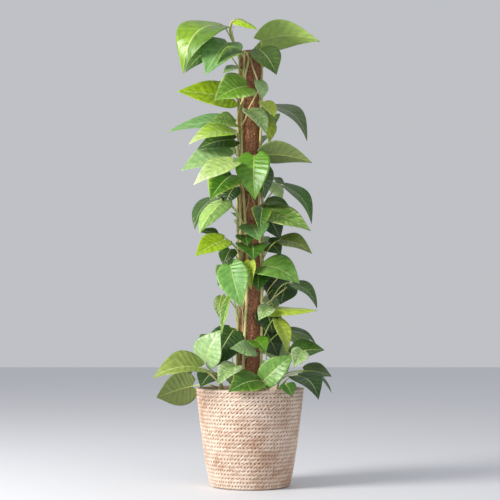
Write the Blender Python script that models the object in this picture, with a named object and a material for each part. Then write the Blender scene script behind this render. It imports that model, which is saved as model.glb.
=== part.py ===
"""A golden pothos climbing a coir pole, in a nursery pot inside a seagrass basket.

Lengths in the tables are millimetres, angles are degrees. The frame has its origin under the
middle of the basket, +X to the right, +Y away from the viewer and +Z up.
"""

import math
import random
from functools import partial
from itertools import product

import bmesh
import bpy
import numpy as np
from mathutils import Matrix
from mathutils.bvhtree import BVHTree

MM = 0.001

# The plant's places are read from the front, in the upright plane through the pole.
VIEW_DISTANCE = 3.0
EYE_HEIGHT = 0.362

# Basket of stitched rope rows
BASKET_HEIGHT = 225 * MM
BASKET_BASE_RADIUS = 90 * MM
BASKET_SPREAD = 35 * MM
BASKET_SPREAD_POWER = 0.7
BASKET_ROWS = 26
BASKET_GROOVE = 2.0 * MM
BASKET_WALL = 9.0 * MM
BASKET_FLOOR = 8.0 * MM
BASKET_CORNER = 7.0 * MM
BASKET_SEGMENTS = 22
BASKET_RIM_OUTER = 0.3
BASKET_RIM_INNER = 0.75
BASKET_INSIDE = (218 * MM, 130 * MM, 50 * MM)

# Waterproof liner and nursery pot
TOUCH_GAP = 0.3 * MM
LINER_WALL = 0.8 * MM
LINER_TOP = 212 * MM
LINER_HEIGHTS = (50 * MM, 130 * MM)
ROUND_SEGMENTS = 22
POT_WALL = 1.6 * MM
POT_TOP = 204 * MM
POT_BASE_RADIUS = 76 * MM
POT_TOP_RADIUS = 102 * MM
POT_LIP = 4.0 * MM
POT_LIP_HEIGHT = 12 * MM
DRAIN_COUNT = 6
DRAIN_RADIUS = 4.5 * MM
DRAIN_RING = 48 * MM
DRAIN_TURN = 0.37
HOLE_TURN = 0.11

# Compost
SOIL_TOP = 186 * MM
SOIL_RISE = 3.0 * MM
SOIL_SHOULDER = 0.6
SOIL_SHOULDER_RADIUS = 70 * MM
SOIL_CROWN_RADIUS = 48 * MM
HOLE_CLEARANCE = 0.6 * MM
HOLE_ABOVE = 20 * MM

# Coir pole with a wooden stake in it
STAKE_RADIUS = 11 * MM
STAKE_TOP = 1003 * MM
STAKE_REST = 6 * MM
STAKE_SIDES = 20
COIR_RADIUS = 23.5 * MM
COIR_LUMP = 0.9 * MM
COIR_FOOT = 140 * MM
COIR_TOP = 1009 * MM
COIR_RINGS = 16
COIR_SIDES = 14

# Stems
STEM_RADIUS = 3.4 * MM
STEM_TIP_RADIUS = 2.2 * MM
STEM_SIDES = 5
STEM_STEP = 62 * MM
STEM_DEPTH = 55 * MM
STEM_SOIL_RING = 38.5 * MM
STEM_POLE_GAP = 1.9 * MM
STEM_SPLAY_FROM = 200 * MM
STEM_SPLAY_TO = 262 * MM
STEM_WAVE = 12.0
STEM_WAVES = 9
STEM_COLLAR = 8 * MM

# Leaf stalks
STALK_RADIUS = 1.7 * MM
STALK_TIP_RADIUS = 1.3 * MM
STALK_SIDES = 3
STALK_STEPS = 4
STALK_INTO_BLADE = 0.16
STALK_OUT = 0.2
STALK_UP = 0.32
STALK_BACK = 0.26
STALK_UNDER = 0.12
JOINT_LOWEST = 22 * MM
JOINT_BELOW_TOP = 4 * MM
JOINT_DROP = 0.75

# Blades
BLADE_THICKNESS = 0.9 * MM
WIDE_BLADE = 60 * MM
WIDE_STATIONS = (0.0, 0.2, 0.43, 0.66, 0.86, 1.0)
NARROW_STATIONS = (0.0, 0.25, 0.52, 0.8, 1.0)
BLADE_COLUMNS = (-1.0, 0.0, 1.0)
LOBE_BACK = 0.13
BLADE_START = 0.09
BLADE_FULLNESS = 0.85
BLADE_TIP_DRAW = 0.4
EDGE_POWER = 1.35
MIDDLE_POWER = 1.2
CLEARANCE = 1.3 * MM

# name, direction round the pole at the soil, turn on the way up, height of its top
VINES = (
    ("vine_left", 207, 10, 998),
    ("vine_front", 250, -12, 1004),
    ("vine_right", 322, 8, 1001),
    ("vine_rear_left", 158, -8, 985),
    ("vine_rear_right", 15, 12, 990),
    ("vine_rear", 88, 10, 978),
)

# name, direction and distance from the pole, height of its top, outward lean
SHOOTS = (
    ("shoot_left", 205, 66, 246, 12),
    ("shoot_front", 272, 68, 236, 8),
    ("shoot_right", 338, 66, 262, 12),
    ("shoot_rear_left", 118, 64, 268, 10),
    ("shoot_rear_right", 55, 62, 262, 10),
)

# Each leaf: name, stem, stalk joint (x, y, z), tip (x, y, z), width, the way its upper
# side faces (direction, elevation), arch along it, fold of its halves
LEAVES = (
    ("crown_left", "vine_left", (-74, -28, 1072), (-156, -66, 955), 118, (240, 20), 44, 4),
    ("crown_under", "vine_rear_left", (-86, -14, 1022), (-152, -30, 958), 54, (244, 20), 6, 6),
    ("crown_blue", "vine_front", (-52, -46, 1029), (-103, -98, 953), 98, (258, 20), 12, 8),
    ("crown_curl", "vine_front", (-20, -62, 1004), (-78, -128, 977), 52, (262, 32), 6, 30),
    ("crown_right", "vine_rear_right", (25, -12, 1034), (164, -4, 1032), 80, (92, 34), 36, 12),
    ("crown_furled", "vine_rear_left", (-34, -8, 1084), (17, -26, 1060), 30, (270, 44), 4, -20),
    ("crown_dark", "vine_right", (24, -36, 1012), (62, -66, 953), 76, (290, 18), 8, 6),
    ("upper_yellow", "vine_left", (-42, -22, 897), (-171, -44, 914), 84, (270, 34), 6, 8),
    ("upper_front", "vine_front", (-8, -62, 926), (-84, -112, 893), 86, (268, 22), 10, 14),
    ("upper_scrap", "vine_front", (-26, -52, 968), (-64, -96, 956), 34, (268, 45), 6, 10),
    ("upper_round", "vine_right", (22, -36, 938), (27, -50, 895), 40, (306, 16), 5, 6),
    ("upper_reach", "vine_left", (-46, -10, 842), (-192, -32, 818), 66, (262, 50), 10, 6),
    ("upper_frill", "vine_front", (-36, -44, 839), (-95, -84, 841), 50, (266, 28), 6, 18),
    ("upper_lime", "vine_left", (-37, -44, 818), (-143, -86, 789), 78, (268, 56), 15, 8),
    ("upper_under", "vine_rear_left", (-38, -6, 800), (-124, -16, 777), 68, (268, 44), 8, 6),
    ("mid_pale", "vine_left", (-46, -26, 759), (-160, -64, 728), 98, (264, 43), 7, 20),
    ("mid_white", "vine_front", (-40, -34, 748), (-132, -88, 694), 68, (262, 48), 6, 10),
    ("mid_bright", "vine_front", (-42, -48, 717), (-93, -102, 658), 84, (256, 20), 10, 12),
    ("mid_front", "vine_right", (10, -78, 761), (12, -104, 659), 84, (256, 16), 9, 14),
    ("mid_shade", "vine_right", (17, -44, 742), (34, -62, 662), 64, (292, 6), 8, 4),
    ("upper_arc", "vine_rear_right", (52, -2, 877), (133, -26, 797), 80, (316, 32), 24, 10),
    ("upper_stripe", "vine_right", (0, -52, 870), (37, -80, 815), 62, (300, 32), 7, 12),
    ("upper_tuck", "vine_right", (33, -40, 889), (58, -62, 852), 44, (300, 30), 5, 6),
    ("upper_fold", "vine_right", (30, -24, 858), (44, -50, 792), 60, (318, 12), 7, 10),
    ("mid_right", "vine_rear_right", (30, -28, 765), (145, -26, 746), 74, (92, 52), 10, 14),
    ("mid_droop", "vine_left", (-82, -26, 662), (-128, -48, 590), 74, (216, 32), 14, 8),
    ("mid_pleat", "vine_front", (-64, -62, 655), (-118, -104, 581), 72, (238, 42), 8, -6),
    ("mid_small", "vine_rear_left", (-76, -12, 581), (-118, -30, 585), 30, (262, 40), 3, 6),
    ("mid_under", "vine_rear_left", (-38, -4, 688), (-60, -20, 642), 46, (250, 20), 4, 4),
    ("mid_yellow", "vine_left", (-60, -42, 566), (-127, -88, 528), 70, (266, 44), 5, 10),
    ("mid_low", "vine_rear_left", (-46, -16, 543), (-62, -30, 506), 46, (248, 10), 4, 4),
    ("mid_broad", "vine_front", (6, -54, 556), (8, -138, 518), 80, (270, 42), 10, 8),
    ("mid_patch", "vine_front", (-10, -46, 578), (-6, -92, 552), 48, (268, 36), 5, 6),
    ("mid_grey", "vine_front", (6, -58, 600), (20, -100, 564), 74, (272, 34), 5, 12),
    ("mid_lime", "vine_right", (28, -36, 637), (22, -80, 588), 50, (274, 28), 7, 24),
    ("mid_arc", "vine_rear_right", (82, -18, 691), (143, -40, 603), 64, (316, 30), 18, 12),
    ("mid_bit", "vine_rear_right", (58, -4, 708), (84, 0, 690), 30, (320, 40), 3, 6),
    ("mid_dark", "vine_rear_right", (34, -28, 652), (90, -54, 646), 58, (280, 56), 6, 6),
    ("mid_cream", "vine_right", (35, -52, 632), (141, -92, 587), 86, (278, 52), 6, 8),
    ("mid_deep", "vine_rear_right", (38, 0, 624), (70, -6, 568), 68, (300, 4), 5, 4),
    ("mid_olive", "vine_rear_right", (74, -34, 566), (144, -56, 534), 60, (282, 48), 8, 12),
    ("mid_hollow", "vine_rear_right", (42, -18, 561), (72, -28, 531), 56, (290, 22), 5, 6),
    ("low_heart", "vine_front", (-45, -72, 506), (-19, -100, 409), 74, (258, 14), 9, 8),
    ("low_lime", "vine_front", (2, -78, 515), (3, -100, 450), 36, (252, 10), 6, 32),
    ("low_green", "vine_right", (18, -58, 494), (20, -92, 447), 58, (272, 28), 6, 6),
    ("low_round", "vine_right", (30, -46, 506), (116, -86, 463), 92, (282, 42), 14, 8),
    ("low_arc", "vine_rear_right", (102, -44, 464), (155, -48, 407), 54, (320, 30), 13, 10),
    ("low_deep", "vine_rear_right", (64, 14, 486), (46, 10, 424), 66, (280, 4), 5, 4),
    ("low_shade", "vine_rear_right", (82, -2, 462), (70, -24, 416), 62, (280, 22), 5, 4),
    ("low_spear", "vine_right", (43, -52, 404), (156, -78, 402), 54, (272, 64), 2, -12),
    ("low_hang", "vine_right", (64, -62, 379), (85, -88, 304), 42, (300, 14), 10, 14),
    ("low_stripe", "vine_right", (46, -68, 410), (20, -92, 379), 42, (262, 36), 5, 12),
    ("low_hook", "vine_rear_right", (88, -20, 356), (152, -34, 326), 40, (300, 60), 9, 8),
    ("base_right", "shoot_right", (96, -38, 303), (172, -60, 311), 78, (282, 50), 5, 8),
    ("base_streak", "shoot_right", (119, -74, 309), (101, -98, 270), 42, (276, 22), 5, 14),
    ("base_leaning", "shoot_front", (34, -112, 242), (104, -124, 300), 62, (282, 34), 8, 12),
    ("base_front", "shoot_front", (18, -96, 241), (-50, -140, 214), 76, (272, 44), 9, 8),
    ("base_curl", "vine_front", (-34, -80, 274), (-74, -118, 230), 54, (258, 40), 7, 18),
    ("base_pale", "shoot_left", (-102, -62, 285), (-67, -72, 358), 82, (246, 22), 9, 8),
    ("low_sliver", "vine_left", (-47, -56, 430), (-65, -76, 345), 26, (240, 18), 5, 36),
    ("low_flag", "vine_left", (-66, -46, 434), (-70, -62, 385), 32, (236, 18), 5, 10),
    ("base_deep", "shoot_rear_left", (-42, 34, 344), (-88, 16, 260), 82, (258, 10), 7, 4),
    ("base_wide", "shoot_left", (-115, -92, 270), (-225, -120, 245), 84, (264, 48), 16, 24),
    ("base_olive", "shoot_left", (-134, 24, 220), (-216, -8, 194), 84, (100, 12), 6, 6),
    ("base_shadow", "shoot_rear_left", (-88, -6, 258), (-114, -40, 225), 58, (252, 28), 5, 6),
    ("low_pale", "vine_front", (10, -50, 319), (-46, -84, 323), 46, (268, 30), 2, 12),
    ("low_band", "vine_right", (12, -54, 334), (37, -86, 305), 52, (284, 40), 5, 16),
    ("base_dark", "shoot_right", (110, -62, 252), (158, -98, 197), 82, (306, 32), 16, 8),
    ("base_grey", "shoot_right", (126, -32, 263), (189, -52, 250), 60, (288, 46), 5, 8),
    ("base_narrow", "shoot_rear_right", (127, -16, 262), (188, -30, 213), 46, (338, 48), 10, 10),
    ("base_rim", "shoot_right", (83, -116, 232), (97, -138, 203), 38, (282, 30), 4, 10),
    ("base_back", "shoot_rear_right", (32, 2, 362), (66, -4, 296), 82, (275, 6), 6, 4),
    ("low_behind", "vine_rear_right", (38, 6, 404), (53, 2, 348), 62, (276, 6), 5, 4),
)

# Leaves of the far side, which follow a rule
FAR_COUNT = 20
FAR_LOWEST = 322
FAR_HIGHEST = 985
FAR_SEED = 7
FAR_STEMS = ("vine_rear", "vine_rear_left", "vine_rear", "vine_rear_right")
FAR_DIRECTIONS = (84, 108, 98, 74)
FAR_STRAY = 10
FAR_JITTER = 12
FAR_REACH = (62, 90)
FAR_LENGTH = (84, 106)
FAR_DROOP = (12, 46)
FAR_TWIST = 22
FAR_ROLL = 24
FAR_WIDTH = (68, 90)
FAR_ARCH = (8, 20)
FAR_FOLD = 9
LOW_FAR_COUNT = 6
LOW_FAR_LOWEST = 262
LOW_FAR_STEP = 18
LOW_FAR_STEMS = ("shoot_rear_left", "shoot_rear_right")
LOW_FAR_DIRECTIONS = (128, 52)
LOW_FAR_STRAY = 26
LOW_FAR_REACH = (92, 108)

# What a leaf may do to stay clear of its neighbours, in order of how little it shows
DEPTH_MOVES = (0, -7, 7, -14, 14, -21, 21, -28, 28, -36, 36, -46, 46, -58, 58)
JOINT_MOVES = (0, 14, -14, -28, 28, 44, -44)
BOW_MOVES = (0, 12, -12)
RISE_MOVES = (0, 8, -8, 16, -16)

# Plain shapes that leaves stay clear of
KEEP_OUT_SIDES = 24
KEEP_OUT_RINGS = 6
LINER_INSET = 3 * MM
POT_INNER_RADIUS = 100 * MM
POT_MID_RADIUS = 90 * MM
POT_MID = 120 * MM


def unit(vector):
    """The vector at length one."""
    return vector / np.linalg.norm(vector)


def towards(direction, elevation):
    """Unit vector at a compass direction from +X and an elevation, in degrees."""
    turn = math.radians(direction)
    lift = math.radians(elevation)
    level = math.cos(lift)
    return np.array((level * math.cos(turn), level * math.sin(turn), math.sin(lift)))


def seen_at(place):
    """A place read in the pole's plane, carried along the line of sight to its own depth."""
    x, y, z = (value * MM for value in place)
    reach = 1 + y / VIEW_DISTANCE
    return np.array((x * reach, y, EYE_HEIGHT + (z - EYE_HEIGHT) * reach))


def clear_scene():
    """Remove what the file opened with."""
    for item in list(bpy.data.objects):
        bpy.data.objects.remove(item, do_unlink=True)


def material(name, colour, roughness, metallic=0.0):
    """A plain finish: one colour at one roughness."""
    finish = bpy.data.materials.new(name)
    finish.use_nodes = True
    shader = finish.node_tree.nodes["Principled BSDF"]
    shader.inputs["Base Color"].default_value = (*colour, 1.0)
    shader.inputs["Roughness"].default_value = roughness
    shader.inputs["Metallic"].default_value = metallic
    return finish


def add_object(name, mesh, finish=None):
    """Put a mesh in the scene under its name."""
    item = bpy.data.objects.new(name, mesh)
    bpy.context.scene.collection.objects.link(item)
    if finish:
        mesh.materials.append(finish)
    return item


def mesh_from(name, vertices, faces):
    """A closed mesh from points and faces, with its faces turned outwards."""
    mesh = bpy.data.meshes.new(name)
    mesh.from_pydata([tuple(map(float, point)) for point in vertices], [], faces)
    shape = bmesh.new()
    shape.from_mesh(mesh)
    bmesh.ops.recalc_face_normals(shape, faces=shape.faces)
    shape.to_mesh(mesh)
    shape.free()
    return mesh


def smooth(item, angle=40):
    """Shade an object round, apart from edges sharper than the angle."""
    item.data.shade_smooth()
    item.data.set_sharp_from_angle(angle=math.radians(angle))


def turned_mesh(name, profile, steps):
    """A profile of (radius, height) points turned once round the Z axis."""
    shape = bmesh.new()
    points = [shape.verts.new((radius, 0, height)) for radius, height in profile]
    edges = [shape.edges.new(pair) for pair in zip(points, points[1:])]
    bmesh.ops.spin(
        shape, geom=points + edges, axis=(0, 0, 1), cent=(0, 0, 0), steps=steps,
        angle=2 * math.pi, use_merge=True,
    )
    bmesh.ops.remove_doubles(shape, verts=shape.verts, dist=1e-6)
    bmesh.ops.recalc_face_normals(shape, faces=shape.faces)
    mesh = bpy.data.meshes.new(name)
    shape.to_mesh(mesh)
    shape.free()
    return mesh


def basket_radius(height):
    """Outer radius of the basket at a height: a taper that bulges a little."""
    share = max(height, 0) / BASKET_HEIGHT
    return BASKET_BASE_RADIUS + BASKET_SPREAD * share ** BASKET_SPREAD_POWER


def basket_profile():
    """The basket's wall: a ridge for each row of rope, then the plain inside and the floor."""
    pitch = BASKET_HEIGHT / BASKET_ROWS
    foot = BASKET_BASE_RADIUS - BASKET_CORNER
    profile = [(0, 0), (foot, 0)]
    for row in range(BASKET_ROWS):
        middle = (row + 0.5) * pitch
        profile.append((basket_radius(middle), middle))
        if row < BASKET_ROWS - 1:
            top = (row + 1) * pitch
            profile.append((basket_radius(top) - BASKET_GROOVE, top))
    rim = basket_radius(BASKET_HEIGHT)
    profile.append((rim - BASKET_WALL * BASKET_RIM_OUTER, BASKET_HEIGHT))
    profile.append((rim - BASKET_WALL * BASKET_RIM_INNER, BASKET_HEIGHT))
    profile += [(inside_radius(height), height) for height in BASKET_INSIDE]
    profile.append((inside_radius(BASKET_FLOOR), BASKET_FLOOR))
    profile.append((0, BASKET_FLOOR))
    return profile


def inside_radius(height):
    """Inner radius of the basket at a height."""
    return basket_radius(height) - BASKET_WALL


def make_basket():
    """Cover basket of stitched seagrass rope."""
    finish = material("seagrass", (0.56, 0.38, 0.24), 0.85)
    item = add_object("basket", turned_mesh("basket", basket_profile(), BASKET_SEGMENTS), finish)
    smooth(item, 60)
    return item


def make_liner():
    """Thin waterproof film against the inside of the basket."""
    floor = BASKET_FLOOR + TOUCH_GAP
    heights = (floor, *LINER_HEIGHTS, LINER_TOP)
    segment = math.cos(math.pi / BASKET_SEGMENTS)
    outer = [(inside_radius(height) * segment - 3 * TOUCH_GAP, height) for height in heights]
    inner = [(radius - LINER_WALL, height) for radius, height in reversed(outer)]
    inner[-1] = (inner[-1][0], floor + LINER_WALL)
    profile = [(0, floor)] + outer + inner + [(0, floor + LINER_WALL)]
    finish = material("liner_film", (0.09, 0.09, 0.09), 0.45)
    item = add_object("liner", turned_mesh("liner", profile, BASKET_SEGMENTS), finish)
    smooth(item)
    return item


def pot_floor():
    """Height of the underside of the nursery pot."""
    return BASKET_FLOOR + LINER_WALL + 2 * TOUCH_GAP


def pot_radius(height):
    """Outer radius of the nursery pot at a height."""
    share = (height - pot_floor()) / (POT_TOP - pot_floor())
    return POT_BASE_RADIUS + (POT_TOP_RADIUS - POT_BASE_RADIUS) * share


def apply_boolean(item, operation, cutters, solver="EXACT"):
    """Join or cut an object with a collection of others, and remove those."""
    group = bpy.data.collections.new("parts of " + item.name)
    bpy.context.scene.collection.children.link(group)
    for cutter in cutters:
        bpy.context.scene.collection.objects.unlink(cutter)
        group.objects.link(cutter)
        cutter.display_type = "WIRE"
        cutter.hide_render = True
    step = item.modifiers.new("joined", "BOOLEAN")
    step.operand_type = "COLLECTION"
    step.collection = group
    step.operation = operation
    step.solver = solver
    bpy.context.view_layer.update()
    evaluated = item.evaluated_get(bpy.context.evaluated_depsgraph_get())
    result = bpy.data.meshes.new_from_object(evaluated)
    item.modifiers.remove(step)
    item.data = result
    for cutter in list(group.objects):
        bpy.data.objects.remove(cutter, do_unlink=True)
    bpy.data.collections.remove(group)


def round_cutter(name, radius, low, high, place=(0, 0), sides=12):
    """An upright round bar that cuts a plain hole."""
    shape = bmesh.new()
    bmesh.ops.create_cone(
        shape, cap_ends=True, segments=sides, radius1=radius, radius2=radius, depth=high - low,
    )
    bmesh.ops.rotate(shape, verts=shape.verts, matrix=Matrix.Rotation(HOLE_TURN, 3, "Z"))
    bmesh.ops.translate(shape, verts=shape.verts, vec=(place[0], place[1], (low + high) / 2))
    mesh = bpy.data.meshes.new(name)
    shape.to_mesh(mesh)
    shape.free()
    return add_object(name, mesh)


def make_nursery_pot():
    """Plain grower's pot with a lip and drain holes."""
    floor = pot_floor()
    lip_foot = POT_TOP - POT_LIP_HEIGHT
    inner_floor = floor + POT_WALL
    profile = [
        (0, floor),
        (POT_BASE_RADIUS, floor),
        (pot_radius(lip_foot), lip_foot),
        (pot_radius(lip_foot) + POT_LIP, lip_foot),
        (POT_TOP_RADIUS + POT_LIP, POT_TOP),
        (POT_TOP_RADIUS - POT_WALL, POT_TOP),
        (pot_radius(inner_floor) - POT_WALL, inner_floor),
        (0, inner_floor),
    ]
    finish = material("nursery_plastic", (0.12, 0.11, 0.10), 0.5)
    item = add_object("nursery_pot", turned_mesh("nursery_pot", profile, ROUND_SEGMENTS), finish)
    drains = []
    for number in range(DRAIN_COUNT):
        turn = 2 * math.pi * number / DRAIN_COUNT + DRAIN_TURN
        place = (DRAIN_RING * math.cos(turn), DRAIN_RING * math.sin(turn))
        low = floor - POT_WALL
        drains.append(round_cutter("drain", DRAIN_RADIUS, low, floor + 3 * POT_WALL, place, 8))
    apply_boolean(item, "DIFFERENCE", drains)
    smooth(item)
    return item


def make_compost(stem_feet):
    """Compost that fills the nursery pot, with a plain hole for each stem and for the pole."""
    floor = pot_floor() + POT_WALL + TOUCH_GAP
    segment = math.cos(math.pi / ROUND_SEGMENTS)
    edge = POT_WALL / segment + 2 * TOUCH_GAP
    profile = [
        (0, floor),
        (pot_radius(floor) * segment - edge, floor),
        (pot_radius(SOIL_TOP) * segment - edge, SOIL_TOP),
        (SOIL_SHOULDER_RADIUS, SOIL_TOP + SOIL_SHOULDER * SOIL_RISE),
        (SOIL_CROWN_RADIUS, SOIL_TOP + SOIL_RISE),
        (0, SOIL_TOP + SOIL_RISE),
    ]
    finish = material("compost", (0.045, 0.03, 0.02), 0.95)
    item = add_object("compost", turned_mesh("compost", profile, ROUND_SEGMENTS), finish)
    above = SOIL_TOP + HOLE_ABOVE
    pole = coir_limit() + 2 * HOLE_CLEARANCE
    stake = STAKE_RADIUS + HOLE_CLEARANCE
    cutters = [
        round_cutter("pole hole", pole, COIR_FOOT - TOUCH_GAP, above, sides=COIR_SIDES),
        round_cutter("stake hole", stake, floor + STAKE_REST, above, sides=COIR_SIDES),
    ]
    for foot in stem_feet:
        hole_foot = SOIL_TOP - STEM_DEPTH - TOUCH_GAP
        radius = (STEM_RADIUS + HOLE_CLEARANCE) / math.cos(math.pi / 6)
        cutters.append(round_cutter("stem hole", radius, hole_foot, above, foot, 6))
    apply_boolean(item, "DIFFERENCE", cutters)
    smooth(item)
    return item


def coir_limit():
    """The furthest that the lumpy coir reaches from the pole's middle."""
    return COIR_RADIUS + COIR_LUMP


def make_stake():
    """Round wooden stake that the coir is wrapped on; it stands in the compost."""
    foot = pot_floor() + POT_WALL + 2 * TOUCH_GAP + STAKE_REST
    profile = [(0, foot), (STAKE_RADIUS, foot), (STAKE_RADIUS, STAKE_TOP), (0, STAKE_TOP)]
    finish = material("stake_wood", (0.45, 0.28, 0.15), 0.7)
    item = add_object("pole_stake", turned_mesh("pole_stake", profile, STAKE_SIDES), finish)
    smooth(item)
    return item


def make_coir():
    """Coir fibre sleeve of the pole: a tube with a lumpy outside."""
    hollow = (STAKE_RADIUS + TOUCH_GAP) / math.cos(math.pi / COIR_SIDES) + TOUCH_GAP
    heights = [
        COIR_FOOT + (COIR_TOP - COIR_FOOT) * step / (COIR_RINGS - 1) for step in range(COIR_RINGS)
    ]
    profile = [(hollow, COIR_FOOT)]
    profile += [(COIR_RADIUS, height) for height in heights]
    profile.append((hollow, COIR_TOP))
    profile.append((hollow, COIR_FOOT))
    mesh = turned_mesh("pole_coir", profile, COIR_SIDES)
    draw = random.Random(3)
    for vertex in mesh.vertices:
        if vertex.co.xy.length > (hollow + COIR_RADIUS) / 2:
            lump = 1 + COIR_LUMP / COIR_RADIUS * draw.uniform(-1, 1)
            vertex.co.x *= lump
            vertex.co.y *= lump
    item = add_object("pole_coir", mesh, material("coir", (0.26, 0.12, 0.06), 0.95))
    smooth(item, 60)
    return item


def vine_point(direction, turn, height):
    """Middle of a vine at a height: it weaves beside the pole and splays at the soil."""
    share = (height - SOIL_TOP) / (COIR_TOP - SOIL_TOP)
    splay = (STEM_SPLAY_TO - height) / (STEM_SPLAY_TO - STEM_SPLAY_FROM)
    splay = min(max(splay, 0), 1)
    splay = splay * splay * (3 - 2 * splay)
    climbing = 1 - splay
    close = coir_limit() + STEM_RADIUS + STEM_POLE_GAP
    away = close + (STEM_SOIL_RING - close) * splay
    wave = STEM_WAVE * math.sin(STEM_WAVES * share + math.radians(direction)) * climbing
    angle = math.radians(direction + turn * max(share, 0) * climbing + wave)
    return np.array((away * math.cos(angle), away * math.sin(angle), height))


def shoot_point(direction, distance, top, lean, height):
    """Middle of a short shoot at a height: it leans outwards above the soil."""
    share = max((height - SOIL_TOP - STEM_COLLAR) / (top * MM - SOIL_TOP), 0)
    away = (distance + lean * share * share) * MM
    angle = math.radians(direction)
    return np.array((away * math.cos(angle), away * math.sin(angle), height))


def tube(points, radii, sides):
    """Vertices and faces of a closed tube round a path, with its turn carried smoothly along."""
    points = np.asarray(points)
    forward = np.gradient(points, axis=0)
    side = unit(np.cross(forward[0], (0.31, 0.17, 0.94)))
    vertices = []
    for point, way, radius in zip(points, forward, radii):
        way = unit(way)
        side = unit(side - way * np.dot(side, way))
        other = np.cross(way, side)
        for number in range(sides):
            angle = 2 * math.pi * (number + 0.5) / sides
            vertices.append(point + radius * (math.cos(angle) * side + math.sin(angle) * other))
    faces = [tuple(reversed(range(sides)))]
    for ring in range(len(points) - 1):
        low = ring * sides
        high = low + sides
        for number in range(sides):
            following = (number + 1) % sides
            faces.append((low + number, low + following, high + following, high + number))
    last = (len(points) - 1) * sides
    faces.append(tuple(last + number for number in range(sides)))
    return vertices, faces


def blade_frame(base, tip, facing):
    """Length, the way along the blade, the way across it and the way its upper side faces."""
    chord = tip - base
    length = np.linalg.norm(chord)
    along = chord / length
    up = unit(facing - along * np.dot(facing, along))
    return length, along, np.cross(along, up), up


def blade_surface(leaf, along, across):
    """Points of a blade's middle surface.

    along is 0 at the stalk and 1 at the tip, across is -1 to 1 from edge to edge. The half
    width is a sine of along, drawn in near the tip, and the edge starts behind the stalk, which
    makes the two lobes of the heart. The arch is a parabola over the chord, and the fold lifts
    both halves from the midrib.
    """
    base, tip, width, facing, arch, fold = leaf
    length, forward, sideways, up = blade_frame(base, tip, facing)
    swell = np.sin(np.pi * (BLADE_START + (1 - BLADE_START) * along)) ** BLADE_FULLNESS
    half = 0.5 * width * swell * (1 - BLADE_TIP_DRAW * along ** 6)
    edge = -LOBE_BACK + (1 + LOBE_BACK) * along ** EDGE_POWER
    middle = along ** MIDDLE_POWER
    reach = middle + (edge - middle) * np.abs(across)
    spread = half * across * math.cos(fold)
    lift = 4 * arch * reach * (1 - reach) + half * np.abs(across) * math.sin(fold)
    place = base + forward * (reach * length)[..., None]
    return place + sideways * spread[..., None] + up * lift[..., None]


def blade_shell(leaf, thickness):
    """Vertices and faces of a blade with both faces split into triangles alike."""
    stations = WIDE_STATIONS if leaf[2] > WIDE_BLADE else NARROW_STATIONS
    along, across = np.meshgrid(stations[:-1], BLADE_COLUMNS, indexing="ij")
    step = 1e-3
    middle = blade_surface(leaf, along, across)
    onward = blade_surface(leaf, along + step, across) - blade_surface(leaf, along, across)
    inner = across * (1 - step)
    outward = blade_surface(leaf, along, inner + step) - blade_surface(leaf, along, inner - step)
    normal = np.cross(outward, onward)
    normal /= np.linalg.norm(normal, axis=2, keepdims=True)
    up = blade_frame(leaf[0], leaf[1], leaf[3])[3]
    tip = blade_surface(leaf, np.array(1.0), np.array(0.0))
    half = thickness / 2
    rows, count = along.shape
    top = list((middle + normal * half).reshape(-1, 3)) + [tip + up * half]
    bottom = list((middle - normal * half).reshape(-1, 3)) + [tip - up * half]
    point = rows * count
    under = point + 1
    upper = []
    for row in range(rows - 1):
        for column in range(count - 1):
            first = row * count + column
            corner = (first, first + 1, first + count + 1, first + count)
            if across[row, column] < -0.01:
                upper += [(corner[0], corner[1], corner[3]), (corner[1], corner[2], corner[3])]
            else:
                upper += [(corner[0], corner[1], corner[2]), (corner[0], corner[2], corner[3])]
    last = (rows - 1) * count
    upper += [(last + column, last + column + 1, point) for column in range(count - 1)]
    lower = [tuple(under + index for index in reversed(face)) for face in upper]
    rim = list(range(count)) + [row * count + count - 1 for row in range(1, rows)]
    rim += [point] + [row * count for row in range(rows - 1, 0, -1)]
    sides = []
    for first, second in zip(rim, rim[1:] + rim[:1]):
        sides += [(first, under + first, under + second), (first, under + second, second)]
    return top + bottom, upper + lower + sides


def stalk_path(root, leaf, bow):
    """Points of a leaf stalk: up and out from the stem, then over into the blade's underside."""
    base, tip, _, facing, _, _ = leaf
    _, forward, _, up = blade_frame(base, tip, facing)
    reach = np.linalg.norm(base - root)
    level = (base - root) * (1, 1, 0)
    outward = level / max(np.linalg.norm(level), 1e-6)
    aside = np.array((-outward[1], outward[0], 0))
    first = root + reach * (STALK_OUT * outward + STALK_UP * np.array((0, 0, 1))) + aside * bow
    second = base - reach * (STALK_BACK * forward + STALK_UNDER * up) + aside * bow
    points = []
    for step in range(STALK_STEPS + 1):
        share = step / STALK_STEPS
        rest = 1 - share
        points.append(
            rest ** 3 * root + 3 * rest * rest * share * first
            + 3 * rest * share * share * second + share ** 3 * base
        )
    points[-1] = blade_surface(leaf, np.array(STALK_INTO_BLADE), np.array(0.0))
    return points


def stalk_shell(points, extra=0.0):
    """Vertices and faces of a stalk that thins towards the blade."""
    radii = np.linspace(STALK_RADIUS, STALK_TIP_RADIUS, len(points)) + extra
    return tube(points, radii, STALK_SIDES)


def tree_of(shell):
    """A search tree of a shape's faces, for finding what crosses it."""
    vertices, faces = shell
    return BVHTree.FromPolygons([tuple(map(float, point)) for point in vertices], faces)


def ring_tree(profile):
    """A search tree of a closed loop of (radius, height) points turned round the Z axis."""
    points = []
    for radius, height in profile:
        for number in range(KEEP_OUT_SIDES):
            turn = 2 * math.pi * number / KEEP_OUT_SIDES
            points.append((radius * math.cos(turn), radius * math.sin(turn), height))
    faces = []
    for row in range(len(profile)):
        low = row * KEEP_OUT_SIDES
        high = (row + 1) % len(profile) * KEEP_OUT_SIDES
        for number in range(KEEP_OUT_SIDES):
            beside = (number + 1) % KEEP_OUT_SIDES
            faces.append((low + number, low + beside, high + beside, high + number))
    return tree_of((points, faces))


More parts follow.
